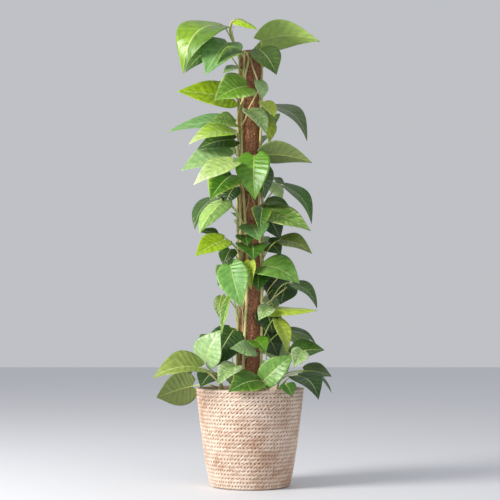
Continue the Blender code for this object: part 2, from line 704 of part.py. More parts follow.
def keep_out_trees():
    """The plain shapes that leaves stay clear of: the pole, and the pots with the basket's wall."""
    factor = 1 / math.cos(math.pi / KEEP_OUT_SIDES)
    pole = coir_limit() * factor
    core = STAKE_RADIUS
    wall = [
        (basket_radius(height) * factor, height)
        for height in np.linspace(0, BASKET_HEIGHT, KEEP_OUT_RINGS)
    ]
    inside = [
        (inside_radius(BASKET_HEIGHT), BASKET_HEIGHT),
        (inside_radius(LINER_TOP) - LINER_INSET, LINER_TOP),
        (POT_INNER_RADIUS, POT_TOP),
        (POT_MID_RADIUS, POT_MID),
    ]
    return [
        ring_tree([(core, COIR_FOOT), (pole, COIR_FOOT), (pole, COIR_TOP), (core, COIR_TOP)]),
        ring_tree(wall + inside),
    ]


def moves():
    """Every small move that a leaf may make, the least visible first."""
    options = []
    for depth, joint, bow, rise in product(DEPTH_MOVES, JOINT_MOVES, BOW_MOVES, RISE_MOVES):
        cost = abs(depth) + 0.6 * abs(joint) + 0.8 * abs(bow) + 4 * abs(rise)
        options.append((cost, depth, joint, bow, rise))
    return sorted(options, key=lambda option: option[0])


def shifted(place, depth, rise):
    """A place moved along the view by a depth, and up by a rise."""
    return (place[0], place[1] + depth, place[2] + rise)


def far_leaf(name, stem, height, direction, reaches, draw):
    """One row of the leaf table for a leaf of the far side: it droops and twists by chance."""
    reach = draw.uniform(*reaches)
    course = direction + draw.uniform(-FAR_TWIST, FAR_TWIST)
    droop = draw.uniform(*FAR_DROOP)
    length = draw.uniform(*FAR_LENGTH)
    base = reach * towards(direction, 0) + np.array((0, 0, height))
    tip = base + length * towards(course, -droop)
    facing = (course + draw.uniform(-FAR_ROLL, FAR_ROLL), 90 - droop)
    return name, stem, base, tip, draw.uniform(*FAR_WIDTH), facing, draw.uniform(*FAR_ARCH), FAR_FOLD


def far_leaves():
    """Leaves of the far side: spaced up the rear stems, turned outwards and hanging."""
    draw = random.Random(FAR_SEED)
    rows = []
    for number in range(FAR_COUNT):
        share = number / (FAR_COUNT - 1)
        height = FAR_LOWEST + (FAR_HIGHEST - FAR_LOWEST) * share
        height += draw.uniform(-FAR_JITTER, FAR_JITTER)
        direction = FAR_DIRECTIONS[number % 4] + draw.uniform(-FAR_STRAY, FAR_STRAY)
        row = far_leaf("far_%02d" % number, FAR_STEMS[number % 4], height, direction, FAR_REACH, draw)
        rows.append(row)
    for number in range(LOW_FAR_COUNT):
        direction = LOW_FAR_DIRECTIONS[number % 2] + draw.uniform(-LOW_FAR_STRAY, LOW_FAR_STRAY)
        height = LOW_FAR_LOWEST + LOW_FAR_STEP * number
        stem = LOW_FAR_STEMS[number % 2]
        row = far_leaf("far_low_%d" % number, stem, height, direction, LOW_FAR_REACH, draw)
        rows.append(row)
    return rows


def stem_tables():
    """For each stem, a function of height and the height of its top."""
    stems = {}
    for name, direction, turn, top in VINES:
        stems[name] = (partial(vine_point, direction, turn), top * MM)
    for name, direction, distance, top, lean in SHOOTS:
        stems[name] = (partial(shoot_point, direction, distance, top, lean), top * MM)
    return stems


def stem_shell(middle, top):
    """Vertices and faces of a stem from its foot in the compost to its top."""
    foot = SOIL_TOP - STEM_DEPTH
    count = max(int((top - foot) / STEM_STEP), 3)
    heights = [foot, *np.linspace(SOIL_TOP + STEM_COLLAR, top, count + 1)]
    radii = [STEM_RADIUS] * (len(heights) - 2)
    radii += [0.5 * (STEM_RADIUS + STEM_TIP_RADIUS), STEM_TIP_RADIUS]
    return tube([middle(height) for height in heights], radii, STEM_SIDES)


def joint_height(base, middle, top, shift):
    """Height at which a stalk leaves its stem: lower than the blade by most of its reach."""
    low = SOIL_TOP + JOINT_LOWEST
    high = top - JOINT_BELOW_TOP
    level = np.linalg.norm((base - middle(min(max(base[2], low), high)))[:2])
    height = min(max(base[2] - JOINT_DROP * level, low), high) + shift
    return min(max(height, low), high)


def grow_leaf(row, stems, placed, solid_trees, options):
    """Place one leaf with its stalk, moved as little as keeps it clear of everything else."""
    _, stem, base, tip, width, facing, arch, fold = row
    middle, top = stems[stem]
    for _, depth, joint, bow, rise in options:
        leaf = (
            seen_at(shifted(base, depth, rise)), seen_at(shifted(tip, depth, rise)), width * MM,
            towards(*facing), arch * MM, math.radians(fold),
        )
        height = joint_height(leaf[0], middle, top, joint * MM)
        path = stalk_path(middle(height), leaf, bow * MM)
        blade_tree = tree_of(blade_shell(leaf, BLADE_THICKNESS + 2 * CLEARANCE))
        stalk_tree = tree_of(stalk_shell(path, CLEARANCE))
        crossed = any(blade_tree.overlap(tree) or stalk_tree.overlap(tree) for tree in solid_trees)
        for kind, owner, tree in placed:
            if crossed:
                break
            crossed = bool(blade_tree.overlap(tree))
            if not crossed and (owner != stem or kind != "stem"):
                crossed = bool(stalk_tree.overlap(tree))
        if not crossed:
            placed.append(("stalk", stem, stalk_tree))
            placed.append(("blade", stem, blade_tree))
            return leaf, path
    return None


def grow_plant(stems):
    """Every leaf in its place: for each stem, its leaves with their stalks."""
    solid_trees = keep_out_trees()
    options = moves()
    placed = [("stem", name, tree_of(stem_shell(*stems[name]))) for name in stems]
    grown = {name: [] for name in stems}
    rows = list(LEAVES) + far_leaves()
    for row in sorted(rows, key=lambda entry: -entry[4]):
        result = grow_leaf(row, stems, placed, solid_trees, options)
        if result is None:
            print("no room for", row[0])
        else:
            grown[row[1]].append(result)
    return grown


def make_leafy_stems():
    """Every stem with its stalks and blades, each joined into one body."""
    stems = stem_tables()
    finish = material("pothos_green", (0.16, 0.36, 0.06), 0.4)
    for name, leaves in grow_plant(stems).items():
        item = add_object(name, mesh_from(name, *stem_shell(*stems[name])), finish)
        pieces = []
        for leaf, path in leaves:
            pieces.append(add_object("stalk", mesh_from("stalk", *stalk_shell(path))))
            shell = blade_shell(leaf, BLADE_THICKNESS)
            pieces.append(add_object("blade", mesh_from("blade", *shell)))
        apply_boolean(item, "UNION", pieces, "MANIFOLD")
        smooth(item, 50)
        print(name, len(leaves), "leaves", len(item.data.polygons), "faces")


def stem_feet():
    """Where each stem stands in the compost."""
    return [tuple(middle(SOIL_TOP)[:2]) for middle, _ in stem_tables().values()]


def main():
    """Build the potted plant."""
    clear_scene()
    make_basket()
    make_liner()
    make_nursery_pot()
    make_compost(stem_feet())
    make_stake()
    make_coir()
    make_leafy_stems()


main()
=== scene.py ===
# %% [markdown]
# # A potted golden pothos
#
# A pothos climbs a coir pole. It grows in a thin nursery pot, which stands with a waterproof
# liner inside a round basket of seagrass rope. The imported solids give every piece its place
# and size, and this lesson gives each one its fine surface and its finish.

import math
import random
from functools import partial
from itertools import product

import bpy
import numpy as np
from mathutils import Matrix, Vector
from mathutils.bvhtree import BVHTree


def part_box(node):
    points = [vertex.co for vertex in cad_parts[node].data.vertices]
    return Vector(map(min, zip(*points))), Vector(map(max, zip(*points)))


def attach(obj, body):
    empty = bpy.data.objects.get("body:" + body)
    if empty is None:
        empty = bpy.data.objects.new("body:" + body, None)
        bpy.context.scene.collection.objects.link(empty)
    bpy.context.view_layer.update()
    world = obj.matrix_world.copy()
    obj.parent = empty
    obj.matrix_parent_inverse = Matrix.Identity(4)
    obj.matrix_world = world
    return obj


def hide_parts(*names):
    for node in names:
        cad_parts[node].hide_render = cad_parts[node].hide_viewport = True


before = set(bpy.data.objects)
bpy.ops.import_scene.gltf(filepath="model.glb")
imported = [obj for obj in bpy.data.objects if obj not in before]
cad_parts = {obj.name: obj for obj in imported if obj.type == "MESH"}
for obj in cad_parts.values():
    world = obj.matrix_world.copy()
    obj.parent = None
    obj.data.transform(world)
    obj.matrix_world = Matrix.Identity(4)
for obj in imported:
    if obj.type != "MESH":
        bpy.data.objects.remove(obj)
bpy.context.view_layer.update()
MM = 0.001
TAU = 2 * math.pi

# %% [markdown]
# ## Camera
#
# The plant was seen from three metres away, from a little above the basket, with the view
# raised slightly. A camera object could be aimed by hand. Here its place and lens follow from
# the eye height, the distance and the row of the horizon, so the picture can be checked
# against real sizes.

# %% Camera
VIEW_DISTANCE = 3.0
EYE_HEIGHT = 0.362
IMAGE_SIZE = 500
FOCAL_PIXELS = 1295
HORIZON_ROW = 328
SENSOR = 36

camera_data = bpy.data.cameras.new("camera")
camera_data.sensor_width = SENSOR
camera_data.lens = FOCAL_PIXELS * SENSOR / IMAGE_SIZE
camera = bpy.data.objects.new("camera", camera_data)
camera.location = (0, -VIEW_DISTANCE, EYE_HEIGHT)
pitch = math.atan((HORIZON_ROW - IMAGE_SIZE / 2) / FOCAL_PIXELS)
camera.rotation_euler = (math.pi / 2 + pitch, 0, 0)
bpy.context.scene.collection.objects.link(camera)
bpy.context.scene.camera = camera
print("lens %.1f mm, raised %.2f degrees" % (camera_data.lens, math.degrees(pitch)))

# %% [markdown]
# ## Light
#
# A window on the left gives the photograph its one strong soft side. A large square lamp
# stands for it, a weaker one opens the shadows from the front, and a pale surrounding colour
# fills the rest, as in a small studio.

# %% Light
# name, place, target, side in metres, power in watts, colour
LAMPS = (
    ("window", (-2.6, -1.5, 1.7), (0, 0, 0.5), 1.3, 150, (1.0, 0.975, 0.94)),
    ("front fill", (1.2, -2.8, 1.3), (0, 0, 0.6), 1.6, 14, (0.98, 0.98, 1.0)),
)
SURROUND_COLOUR = (0.93, 0.95, 1.0, 1.0)
SURROUND_STRENGTH = 0.56

for name, place, target, size, power, colour in LAMPS:
    data = bpy.data.lights.new(name, "AREA")
    data.size = size
    data.energy = power
    data.color = colour
    lamp = bpy.data.objects.new(name, data)
    lamp.location = place
    lamp.rotation_euler = (Vector(target) - Vector(place)).to_track_quat("-Z", "Y").to_euler()
    bpy.context.scene.collection.objects.link(lamp)

world = bpy.data.worlds.new("studio")
world.use_nodes = True
surround = world.node_tree.nodes["Background"]
surround.inputs["Color"].default_value = SURROUND_COLOUR
surround.inputs["Strength"].default_value = SURROUND_STRENGTH
bpy.context.scene.world = world
bpy.context.scene.view_settings.view_transform = "Standard"
print("lamps:", len(LAMPS))

# %% [markdown]
# ## Tools for meshes
#
# Every new piece is a surface worked out as arrays: rows of points along it and columns round
# it. One function turns arrays into a mesh, and it flips the faces if the shape came out
# inside out, which the sign of its volume tells.


# %% Tools for meshes
def unit(vectors):
    """Vectors at length one, along the last axis."""
    return vectors / np.linalg.norm(vectors, axis=-1, keepdims=True)


def volume_of(vertices, triangles):
    """Six times the volume inside a closed mesh, negative if its faces point inwards."""
    a, b, c = (vertices[triangles[:, corner]] for corner in range(3))
    return float(np.sum(a * np.cross(b, c)))


def add_piece(name, vertices, faces, finish, round_shaded=True):
    """Put a closed mesh in the scene. faces is a list of arrays, each for one corner count."""
    fans = [
        group[:, (0, corner, corner + 1)]
        for group in faces for corner in range(1, group.shape[1] - 1)
    ]
    if volume_of(vertices, np.concatenate(fans)) < 0:
        faces = [group[:, ::-1] for group in faces]
    corners = np.concatenate([group.ravel() for group in faces])
    sizes = np.concatenate([np.full(len(group), group.shape[1]) for group in faces])
    starts = np.cumsum(sizes) - sizes
    mesh = bpy.data.meshes.new(name)
    mesh.vertices.add(len(vertices))
    mesh.vertices.foreach_set("co", vertices.astype(np.float32).ravel())
    mesh.loops.add(len(corners))
    mesh.loops.foreach_set("vertex_index", corners.astype(np.int32))
    mesh.polygons.add(len(sizes))
    mesh.polygons.foreach_set("loop_start", starts.astype(np.int32))
    mesh.polygons.foreach_set("loop_total", sizes.astype(np.int32))
    mesh.update(calc_edges=True)
    mesh.validate()
    if round_shaded:
        mesh.shade_smooth()
    mesh.materials.append(finish)
    piece = bpy.data.objects.new(name, mesh)
    bpy.context.scene.collection.objects.link(piece)
    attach(piece, "root")
    print(name, "faces:", len(mesh.polygons))
    return piece


def paint(piece, name, values):
    """Store one number or one colour for each vertex of a piece."""
    values = np.asarray(values, np.float32)
    if values.ndim == 1:
        layer = piece.data.attributes.new(name, "FLOAT", "POINT")
        layer.data.foreach_set("value", values)
    else:
        layer = piece.data.attributes.new(name, "FLOAT_COLOR", "POINT")
        alpha = np.ones((len(values), 1), np.float32)
        layer.data.foreach_set("color", np.hstack((values, alpha)).ravel())


def lay_out(piece, name, pairs):
    """Store a UV map from one pair of numbers for each vertex."""
    corners = np.empty(len(piece.data.loops), np.int32)
    piece.data.loops.foreach_get("vertex_index", corners)
    layer = piece.data.uv_layers.new(name=name)
    layer.data.foreach_set("uv", np.asarray(pairs, np.float32)[corners].ravel())


# %% Tools for turned pieces
def round_faces(rows, columns, closed_rows=False):
    """Quads of a grid that closes on itself from its last column to its first."""
    last = rows if closed_rows else rows - 1
    row, column = np.meshgrid(np.arange(last), np.arange(columns), indexing="ij")
    onward = (row + 1) % rows
    beside = (column + 1) % columns
    quads = (
        row * columns + column, row * columns + beside,
        onward * columns + beside, onward * columns + column,
    )
    return np.stack(quads, axis=2).reshape(-1, 4)


def round_axis(away, turn, level):
    """Points at a distance from the Z axis, an angle round it and a height."""
    return np.stack(np.broadcast_arrays(away * np.cos(turn), away * np.sin(turn), level), axis=-1)


def turned(radius, height, turn):
    """Points of a turned surface: a radius and a height for each row, an angle for each column.

    radius may also be a whole grid of rows and columns, for a surface with relief.
    """
    rows = len(height)
    return round_axis(np.reshape(radius, (rows, -1)), turn, np.reshape(height, (rows, 1)))


def closed_grid(grid, low, high):
    """Vertices and faces of rows of points round the axis, with one more point on it at each end.

    The first row closes on the point at the height low, the last on the one at the height high.
    """
    rows, columns = grid.shape[:2]
    count = rows * columns
    first = np.arange(columns)
    following = (first + 1) % columns
    near = np.stack((following, first, np.full(columns, count)), axis=1)
    far = np.stack((first, following, np.full(columns, count + 1)), axis=1)
    far[:, :2] += count - columns
    vertices = np.vstack((grid.reshape(-1, 3), (0, 0, low), (0, 0, high)))
    return vertices, [round_faces(rows, columns), near, far]


def add_turned(name, radius, height, turn, finish):
    """Add a turned piece that closes on the axis at the height of its first and its last row."""
    grid = turned(radius, height, turn)
    return add_piece(name, *closed_grid(grid, height[0], height[-1]), finish)


# %% [markdown]
# ## Tools for finishes
#
# Each finish is a Principled shader whose colour, roughness and bump come from small node
# trees. One helper adds a node and wires or sets its inputs, which keeps the trees short
# enough to read.


# %% Tools for finishes
def screen_colour(red, green, blue):
    """A colour in screen values from 0 to 255, as linear light."""
    values = np.array((red, green, blue)) / 255
    return np.where(values <= 0.04045, values / 12.92, ((values + 0.055) / 1.055) ** 2.4)


def solid_colour(red, green, blue):
    """The same with its alpha, for a socket."""
    return (*screen_colour(red, green, blue), 1.0)


def new_finish(name):
    """A material with its tree and its Principled shader."""
    finish = bpy.data.materials.new(name)
    finish.use_nodes = True
    return finish, finish.node_tree, finish.node_tree.nodes["Principled BSDF"]


def connect(tree, node, inputs):
    """Set or wire a node's inputs: a value or an output for each socket's name or number."""
    for key, value in inputs.items():
        if isinstance(value, bpy.types.NodeSocket):
            tree.links.new(value, node.inputs[key])
        else:
            node.inputs[key].default_value = value


def add_node(tree, kind, inputs=None, **settings):
    """Add a node with its settings and its inputs."""
    node = tree.nodes.new(kind)
    for name, value in settings.items():
        setattr(node, name, value)
    connect(tree, node, inputs or {})
    return node


# %% Tools for colours, patterns and bumps
def math_node(tree, operation, first, second=0.0):
    """The result of one operation on numbers."""
    return add_node(tree, "ShaderNodeMath", {0: first, 1: second}, operation=operation).outputs[0]


def times(tree, first, second):
    """One number times another."""
    return math_node(tree, "MULTIPLY", first, second)


def plus(tree, first, second):
    """One number and another."""
    return math_node(tree, "ADD", first, second)


def blend_colours(tree, share, first, second, kind="MIX"):
    """One colour over another by a share."""
    node = add_node(
        tree, "ShaderNodeMix", {0: share, 6: first, 7: second}, data_type="RGBA", blend_type=kind
    )
    return node.outputs[2]


def noise(tree, place, scale, detail=3.0, roughness=0.5):
    """Soft random values from 0 to 1 at a place."""
    inputs = {"Vector": place, "Scale": scale, "Detail": detail, "Roughness": roughness}
    return add_node(tree, "ShaderNodeTexNoise", inputs).outputs["Fac"]


def span(tree, value, low, high, new_low=0.0, new_high=1.0):
    """A value carried from one range to another, and held inside it."""
    inputs = {"Value": value, 1: low, 2: high, 3: new_low, 4: new_high}
    return add_node(tree, "ShaderNodeMapRange", inputs, interpolation_type="SMOOTHSTEP").outputs[0]


def two_tone(tree, value, low, high, first, second):
    """From one screen colour to another, as a value goes from low to high."""
    return blend_colours(tree, span(tree, value, low, high), solid_colour(*first), solid_colour(*second))


def stretched(tree, place, scale):
    """A place with its axes stretched."""
    return add_node(tree, "ShaderNodeMapping", {"Vector": place, "Scale": scale}).outputs[0]


def own_place(tree):
    """The place of a point on its object."""
    return add_node(tree, "ShaderNodeTexCoord").outputs["Object"]


def stored(tree, name):
    """A value painted on the mesh: its colour and its number."""
    node = add_node(tree, "ShaderNodeAttribute", attribute_name=name)
    return node.outputs["Color"], node.outputs["Fac"]


def raise_bumps(tree, shader, height, distance, strength=1.0):
    """Small relief in the shading."""
    inputs = {"Height": height, "Distance": distance, "Strength": strength}
    bump = add_node(tree, "ShaderNodeBump", inputs)
    connect(tree, shader, {"Normal": bump.outputs["Normal"]})


# %% [markdown]
# ## Floor
#
# A plain pale floor catches the plant's soft shadow. It is part of the studio and not of the
# object.

# %% Floor
FLOOR_HALF = 9.0
FLOOR_DIM = (0.68, 0.69, 0.72, 1)
FLOOR_BRIGHT = (0.72, 0.73, 0.76, 1)

floor_finish, tree, shader = new_finish("studio floor")
grain = span(tree, noise(tree, own_place(tree), 3.0), 0.3, 0.7, 0.97, 1.0)
floor_colour = blend_colours(tree, grain, FLOOR_DIM, FLOOR_BRIGHT)
connect(tree, shader, {"Base Color": floor_colour, "Roughness": 0.6})
floor_mesh = bpy.data.meshes.new("floor")
floor_corners = [(x * FLOOR_HALF, y * FLOOR_HALF, 0) for x, y in ((-1, -1), (1, -1), (1, 1), (-1, 1))]
floor_mesh.from_pydata(floor_corners, [], [(0, 1, 2, 3)])
floor_mesh.materials.append(floor_finish)
floor = bpy.data.objects.new("floor", floor_mesh)
bpy.context.scene.collection.objects.link(floor)
print("floor side in metres:", 2 * FLOOR_HALF)

# %% [markdown]
# ## Basket
#
# The cover basket is one long rope of twisted seagrass, laid round in 26 rows and stitched to
# itself. It could be a curve with a twisted section, but a rope that long takes millions of
# faces. Here the wall is one surface with the rope as relief. Each row is a round ridge, and
# on it the strands lie as slanted welts whose ends tuck under at the stitches.

# %% Size of the basket
BASKET_HEIGHT = 225 * MM
BASKET_BASE_RADIUS = 90 * MM
BASKET_SPREAD = 35 * MM
BASKET_SPREAD_POWER = 0.7
BASKET_ROWS = 26
BASKET_WALL = 9.0 * MM
BASKET_FLOOR = 8.0 * MM
BASKET_CORNER = 7.0 * MM
ROPE = BASKET_HEIGHT / BASKET_ROWS


def basket_radius(height):
    """Outer radius of the basket at a height: a taper that bulges a little."""
    share = np.maximum(height, 0) / BASKET_HEIGHT
    return BASKET_BASE_RADIUS + BASKET_SPREAD * share ** BASKET_SPREAD_POWER


def inside_radius(height):
    """Inner radius of the basket at a height."""
    return basket_radius(height) - BASKET_WALL


# %% Relief of the twisted rope
ROPE_GROOVE = 3.2 * MM
STRAND_SPACING = 8.4 * MM
STRAND_WELT = 1.9 * MM
STRAND_TUCK = 1.2 * MM
STRAND_LEAN = 1.3
ROW_ROUND = 0.97
STRAND_ROUND = 0.95
STRANDS_AT_RADIUS = 0.11
COUNT_CHANCE = (0.86, 1.14)
LEAN_CHANCE = (0.8, 1.25)
# share of a strand, waves round the basket, shift from row to row
STRAND_SWAYS = ((0.12, 7, 1.9), (0.10, 23, 4.1))
# factors that turn the number of a strand and of its row into a value without a pattern
STRAND_HASH, ROW_HASH, HASH_SPREAD = 12.9898, 78.233, 43758.5


def rope_relief(row_place, turn, draw):
    """Depth of the rope's surface below its crown, with the painted gap shade and the strand at each
    point.

    row_place counts rows of rope and turn is the angle. Across a row the depth is that of a
    circle, and round the basket the strands are welts that lean with their place in the row.
    The painted shade is darkest in the seams between rows and where two strands meet.
    """
    row = np.floor(row_place).astype(int)
    rows = row.max() + 1
    across = (2 * (row_place - row) - 1)[:, None]
    strands = TAU * STRANDS_AT_RADIUS / STRAND_SPACING
    count = np.round(strands * draw.uniform(*COUNT_CHANCE, rows))[row][:, None]
    offset = draw.uniform(0, 1, rows)[row][:, None]
    lean = (STRAND_LEAN * draw.uniform(*LEAN_CHANCE, rows))[row][:, None]
    row = row[:, None]
    sway = sum(size * np.sin(turn * waves + shift * row) for size, waves, shift in STRAND_SWAYS)
    strand = count * turn / TAU + offset + sway - 0.5 * lean * across
    beside = 2 * (strand - np.floor(strand)) - 1
    groove = ROPE_GROOVE * (1 - np.sqrt(1 - ROW_ROUND * across ** 2))
    between = STRAND_WELT * (1 - np.sqrt(1 - STRAND_ROUND * beside ** 2))
    tuck = STRAND_TUCK * np.clip(np.abs(across) * 1.6 - 0.6, 0, 1) * np.abs(beside) ** 3
    # painted shade: darkest in the seams between rows and where two strands meet
    seam = (groove / ROPE_GROOVE) ** 1.5
    gap_shade = np.clip(seam * (0.7 + 1.1 * beside ** 2) + np.abs(beside) ** 5 * 0.7, 0, 1)
    mixed = np.sin(np.floor(strand) * STRAND_HASH + row * ROW_HASH)
    return groove + between + tuck, gap_shade, np.modf(np.abs(mixed) * HASH_SPREAD)[0]


# %% Shape of the basket
BASKET_COLUMNS = 640
ROW_SAMPLES = 5
CORNER_CUT = 0.8 * BASKET_CORNER
RIM_SAMPLES = 3
RIM_HALF = 0.42 * BASKET_WALL
INNER_SAMPLES = 10
INNER_FROM = BASKET_ROWS - 0.6
INNER_TO = 1.2
INNER_EASE = 0.7 * MM
BASE_MIDDLE = 12 * MM
FLOOR_MIDDLE = 20 * MM
BASE_SHADE = 0.5
INNER_SHADE = 0.4

draw = np.random.default_rng(11)
turn = np.linspace(0, TAU, BASKET_COLUMNS, endpoint=False)
wall_rows = (np.arange(BASKET_ROWS * ROW_SAMPLES) + 0.5) / ROW_SAMPLES
wall_height = wall_rows * ROPE
corner_share = np.clip(1 - wall_height / BASKET_CORNER, 0, 1)
wall_radius = basket_radius(wall_height) - CORNER_CUT * (1 - np.sqrt(1 - corner_share ** 2))
rim_turn = np.linspace(0, math.pi, RIM_SAMPLES + 2)[1:-1]
rim_radius = basket_radius(BASKET_HEIGHT) - BASKET_WALL / 2 + RIM_HALF * np.cos(rim_turn)
rim_height = BASKET_HEIGHT - ROPE / 2 + ROPE / 2 * np.sin(rim_turn)
inner_height = np.linspace(INNER_FROM, INNER_TO, INNER_SAMPLES) * ROPE
inner_radius = inside_radius(inner_height) + INNER_EASE
base_radius = (BASE_MIDDLE, BASKET_BASE_RADIUS - BASKET_CORNER)
floor_radius = (inside_radius(BASKET_FLOOR), FLOOR_MIDDLE)

basket_profile = np.concatenate(
    (base_radius, wall_radius, rim_radius, inner_radius, floor_radius)
)
basket_height = np.concatenate((
    (0, 0), wall_height, rim_height, inner_height, (BASKET_FLOOR, BASKET_FLOOR),
))
wall = slice(len(base_radius), len(base_radius) + len(wall_rows))
depth, gap_shade, straw = np.zeros((3, len(basket_height), BASKET_COLUMNS))
# relief, painted shade of the gaps and tone of each strand
depth[wall], gap_shade[wall], straw[wall] = rope_relief(wall_rows, turn, draw)
straw[:wall.start] = BASE_SHADE
straw[wall.stop:] = INNER_SHADE
print("rope relief in millimetres: %.1f" % (depth.max() / MM))

# %% [markdown]
# Dried seagrass is straw to tan, and each strand has its own shade. The seams between the rows
# and the gaps between the strands are darkened with painted shade, and fine fibres run along the
# strands. The shade of each strand belongs to the rope's own pattern; it is stored on the mesh
# with the painted shade of the gaps. Under the base the rows are rings of the same width, with
# painted shade in the seams between them.

# %% Seagrass finish
STRAW_PALE = (230, 210, 192)
STRAW_TAN = (182, 144, 118)
# nearly black: the colour of the painted shade in the seams and gaps
STRAW_GAP_SHADE = (50, 30, 22)

seagrass, tree, shader = new_finish("seagrass")
place = own_place(tree)
strand_shade, rope_gap_shade = stored(tree, "strand")[1], stored(tree, "gap_shade")[1]
fibre = noise(tree, stretched(tree, place, (1, 1, 3.5)), 320, 4, 0.6)
shade = plus(tree, times(tree, strand_shade, 0.35), noise(tree, place, 14, 2))
shade = plus(tree, shade, times(tree, fibre, 0.5))
straw_colour = two_tone(tree, shade, 0.55, 1.4, STRAW_PALE, STRAW_TAN)
level_place = stretched(tree, place, (1, 1, 0))
away = add_node(tree, "ShaderNodeVectorMath", {0: level_place}, operation="LENGTH").outputs["Value"]
ring = math_node(tree, "PINGPONG", math_node(tree, "DIVIDE", away, ROPE), 0.5)
above = add_node(tree, "ShaderNodeSeparateXYZ", {0: place}).outputs[2]
beneath = span(tree, above, 0.2 * MM, 0.6 * MM, 1.0, 0.0)
# painted shade in the seams between the rings under the base
ring_seam_shade = times(tree, span(tree, ring, 0.0, 0.16, 0.9, 0.0), beneath)
gap_shade_share = math_node(tree, "MAXIMUM", span(tree, rope_gap_shade, 0.12, 0.7, 0.0, 0.94), ring_seam_shade)
# the straw darkened by painted shade in the seams and gaps
straw_colour = blend_colours(tree, gap_shade_share, straw_colour, solid_colour(*STRAW_GAP_SHADE))
connect(tree, shader, {"Base Color": straw_colour, "Roughness": 0.78, "Specular IOR Level": 0.25})
raise_bumps(tree, shader, fibre, 0.0006)

# %% Basket piece
basket = add_turned("basket_rope", basket_profile[:, None] - depth, basket_height, turn, seagrass)
# painted shade of the seams and gaps, stored on the mesh
paint(basket, "gap_shade", np.append(gap_shade, (0.0, 0.0)))
paint(basket, "strand", np.append(straw, (BASE_SHADE, BASE_SHADE)))
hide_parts("basket")

# %% [markdown]
# ## Liner, nursery pot and stake
#
# These are plain things: a thin dark film against the basket, a black pot with a lip and
# drain holes, and a round softwood stake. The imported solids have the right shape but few
# sides, so the liner and the stake are turned again with more columns. The pot keeps its
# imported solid, because its drain holes are real cuts.

# %% Liner
TOUCH_GAP = 0.3 * MM
LINER_WALL = 0.8 * MM
LINER_EASE = 1.9 * MM
LINER_TOP = 212 * MM
LINER_ROWS = 14
LINER_COLUMNS = 120
# size, waves round the liner, shift
LINER_WAVES = ((0.35 * MM, 9, 0), (0.25 * MM, 23, 1))

liner_finish, tree, shader = new_finish("liner film")
crease = noise(tree, stretched(tree, own_place(tree), (1, 1, 0.3)), 60, 3)
crease_shine = span(tree, crease, 0.3, 0.7, 0.3, 0.5)
connect(tree, shader, {"Base Color": (0.03, 0.03, 0.03, 1), "Roughness": crease_shine})
raise_bumps(tree, shader, crease, 0.002)
turn = np.linspace(0, TAU, LINER_COLUMNS, endpoint=False)
liner_height = np.linspace(BASKET_FLOOR + TOUCH_GAP, LINER_TOP, LINER_ROWS)
liner_wave = sum(size * np.sin(waves * turn + shift) for size, waves, shift in LINER_WAVES)
liner_outer = inside_radius(liner_height)[:, None] - LINER_EASE + liner_wave
liner = add_turned(
    "liner_film", np.vstack((liner_outer, liner_outer[::-1] - LINER_WALL)),
    np.append(liner_height, np.maximum(liner_height[::-1], liner_height[0] + LINER_WALL)),
    turn, liner_finish,
)
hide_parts("liner")

# %% Nursery pot
pot_finish, tree, shader = new_finish("nursery plastic")
place = own_place(tree)
scuff = noise(tree, place, 90, 4, 0.6)
dust = span(tree, noise(tree, place, 9, 3), 0.45, 0.75, 0.0, 0.35)
pot_colour = blend_colours(tree, dust, (0.012, 0.011, 0.010, 1), (0.05, 0.042, 0.034, 1))
connect(tree, shader, {"Base Color": pot_colour, "Roughness": span(tree, scuff, 0.3, 0.7, 0.38, 0.6)})
raise_bumps(tree, shader, scuff, 0.0003)
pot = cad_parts["nursery_pot"]
pot.data.materials.clear()
pot.data.materials.append(pot_finish)
print("nursery pot, the packed solid, faces:", len(pot.data.polygons))

# %% Stake
STAKE_RADIUS = 11 * MM
STAKE_EDGE = 1.0 * MM
STAKE_COLUMNS = 40

stake_finish, tree, shader = new_finish("stake softwood")
grain = noise(tree, stretched(tree, own_place(tree), (1, 1, 0.06)), 160, 4, 0.6)
stake_colour = two_tone(tree, grain, 0.35, 0.65, (196, 152, 104), (150, 106, 66))
connect(tree, shader, {"Base Color": stake_colour, "Roughness": 0.7})
raise_bumps(tree, shader, grain, 0.0004)
low, high = (corner.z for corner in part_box("pole_stake"))
end_radius = STAKE_RADIUS - STAKE_EDGE
stake = add_turned(
    "stake_wood", (end_radius, STAKE_RADIUS, STAKE_RADIUS, end_radius),
    (low, low + STAKE_EDGE, high - STAKE_EDGE, high),
    np.linspace(0, TAU, STAKE_COLUMNS, endpoint=False), stake_finish,
)
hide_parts("pole_stake")

# %% [markdown]
# ## Compost
#
# Damp compost fills the nursery pot: a rough surface with crumbs and bits of bark. Its top is
# a height field over rings, and the loose crumbs are small boxes pulled out of shape.

# %% Compost surface
SOIL_TOP = 186 * MM
SOIL_RISE = 3.0 * MM
SOIL_SINK = 0.4 * MM
SOIL_ROUGHNESS = 1.2 * MM
SOIL_EASE = 0.5 * MM
SOIL_EDGE_DROP = 1.5 * MM
SOIL_SIDE_DROP = 4 * MM
SOIL_SIDE_ROWS = 5
SOIL_FOOT_RADIUS = 75 * MM
SOIL_MIDDLE = 4 * MM
SOIL_RINGS = 46
SOIL_COLUMNS = 180
SOIL_WAVES = 26
SOIL_WAVE_SPREAD = (420, 420, 3)

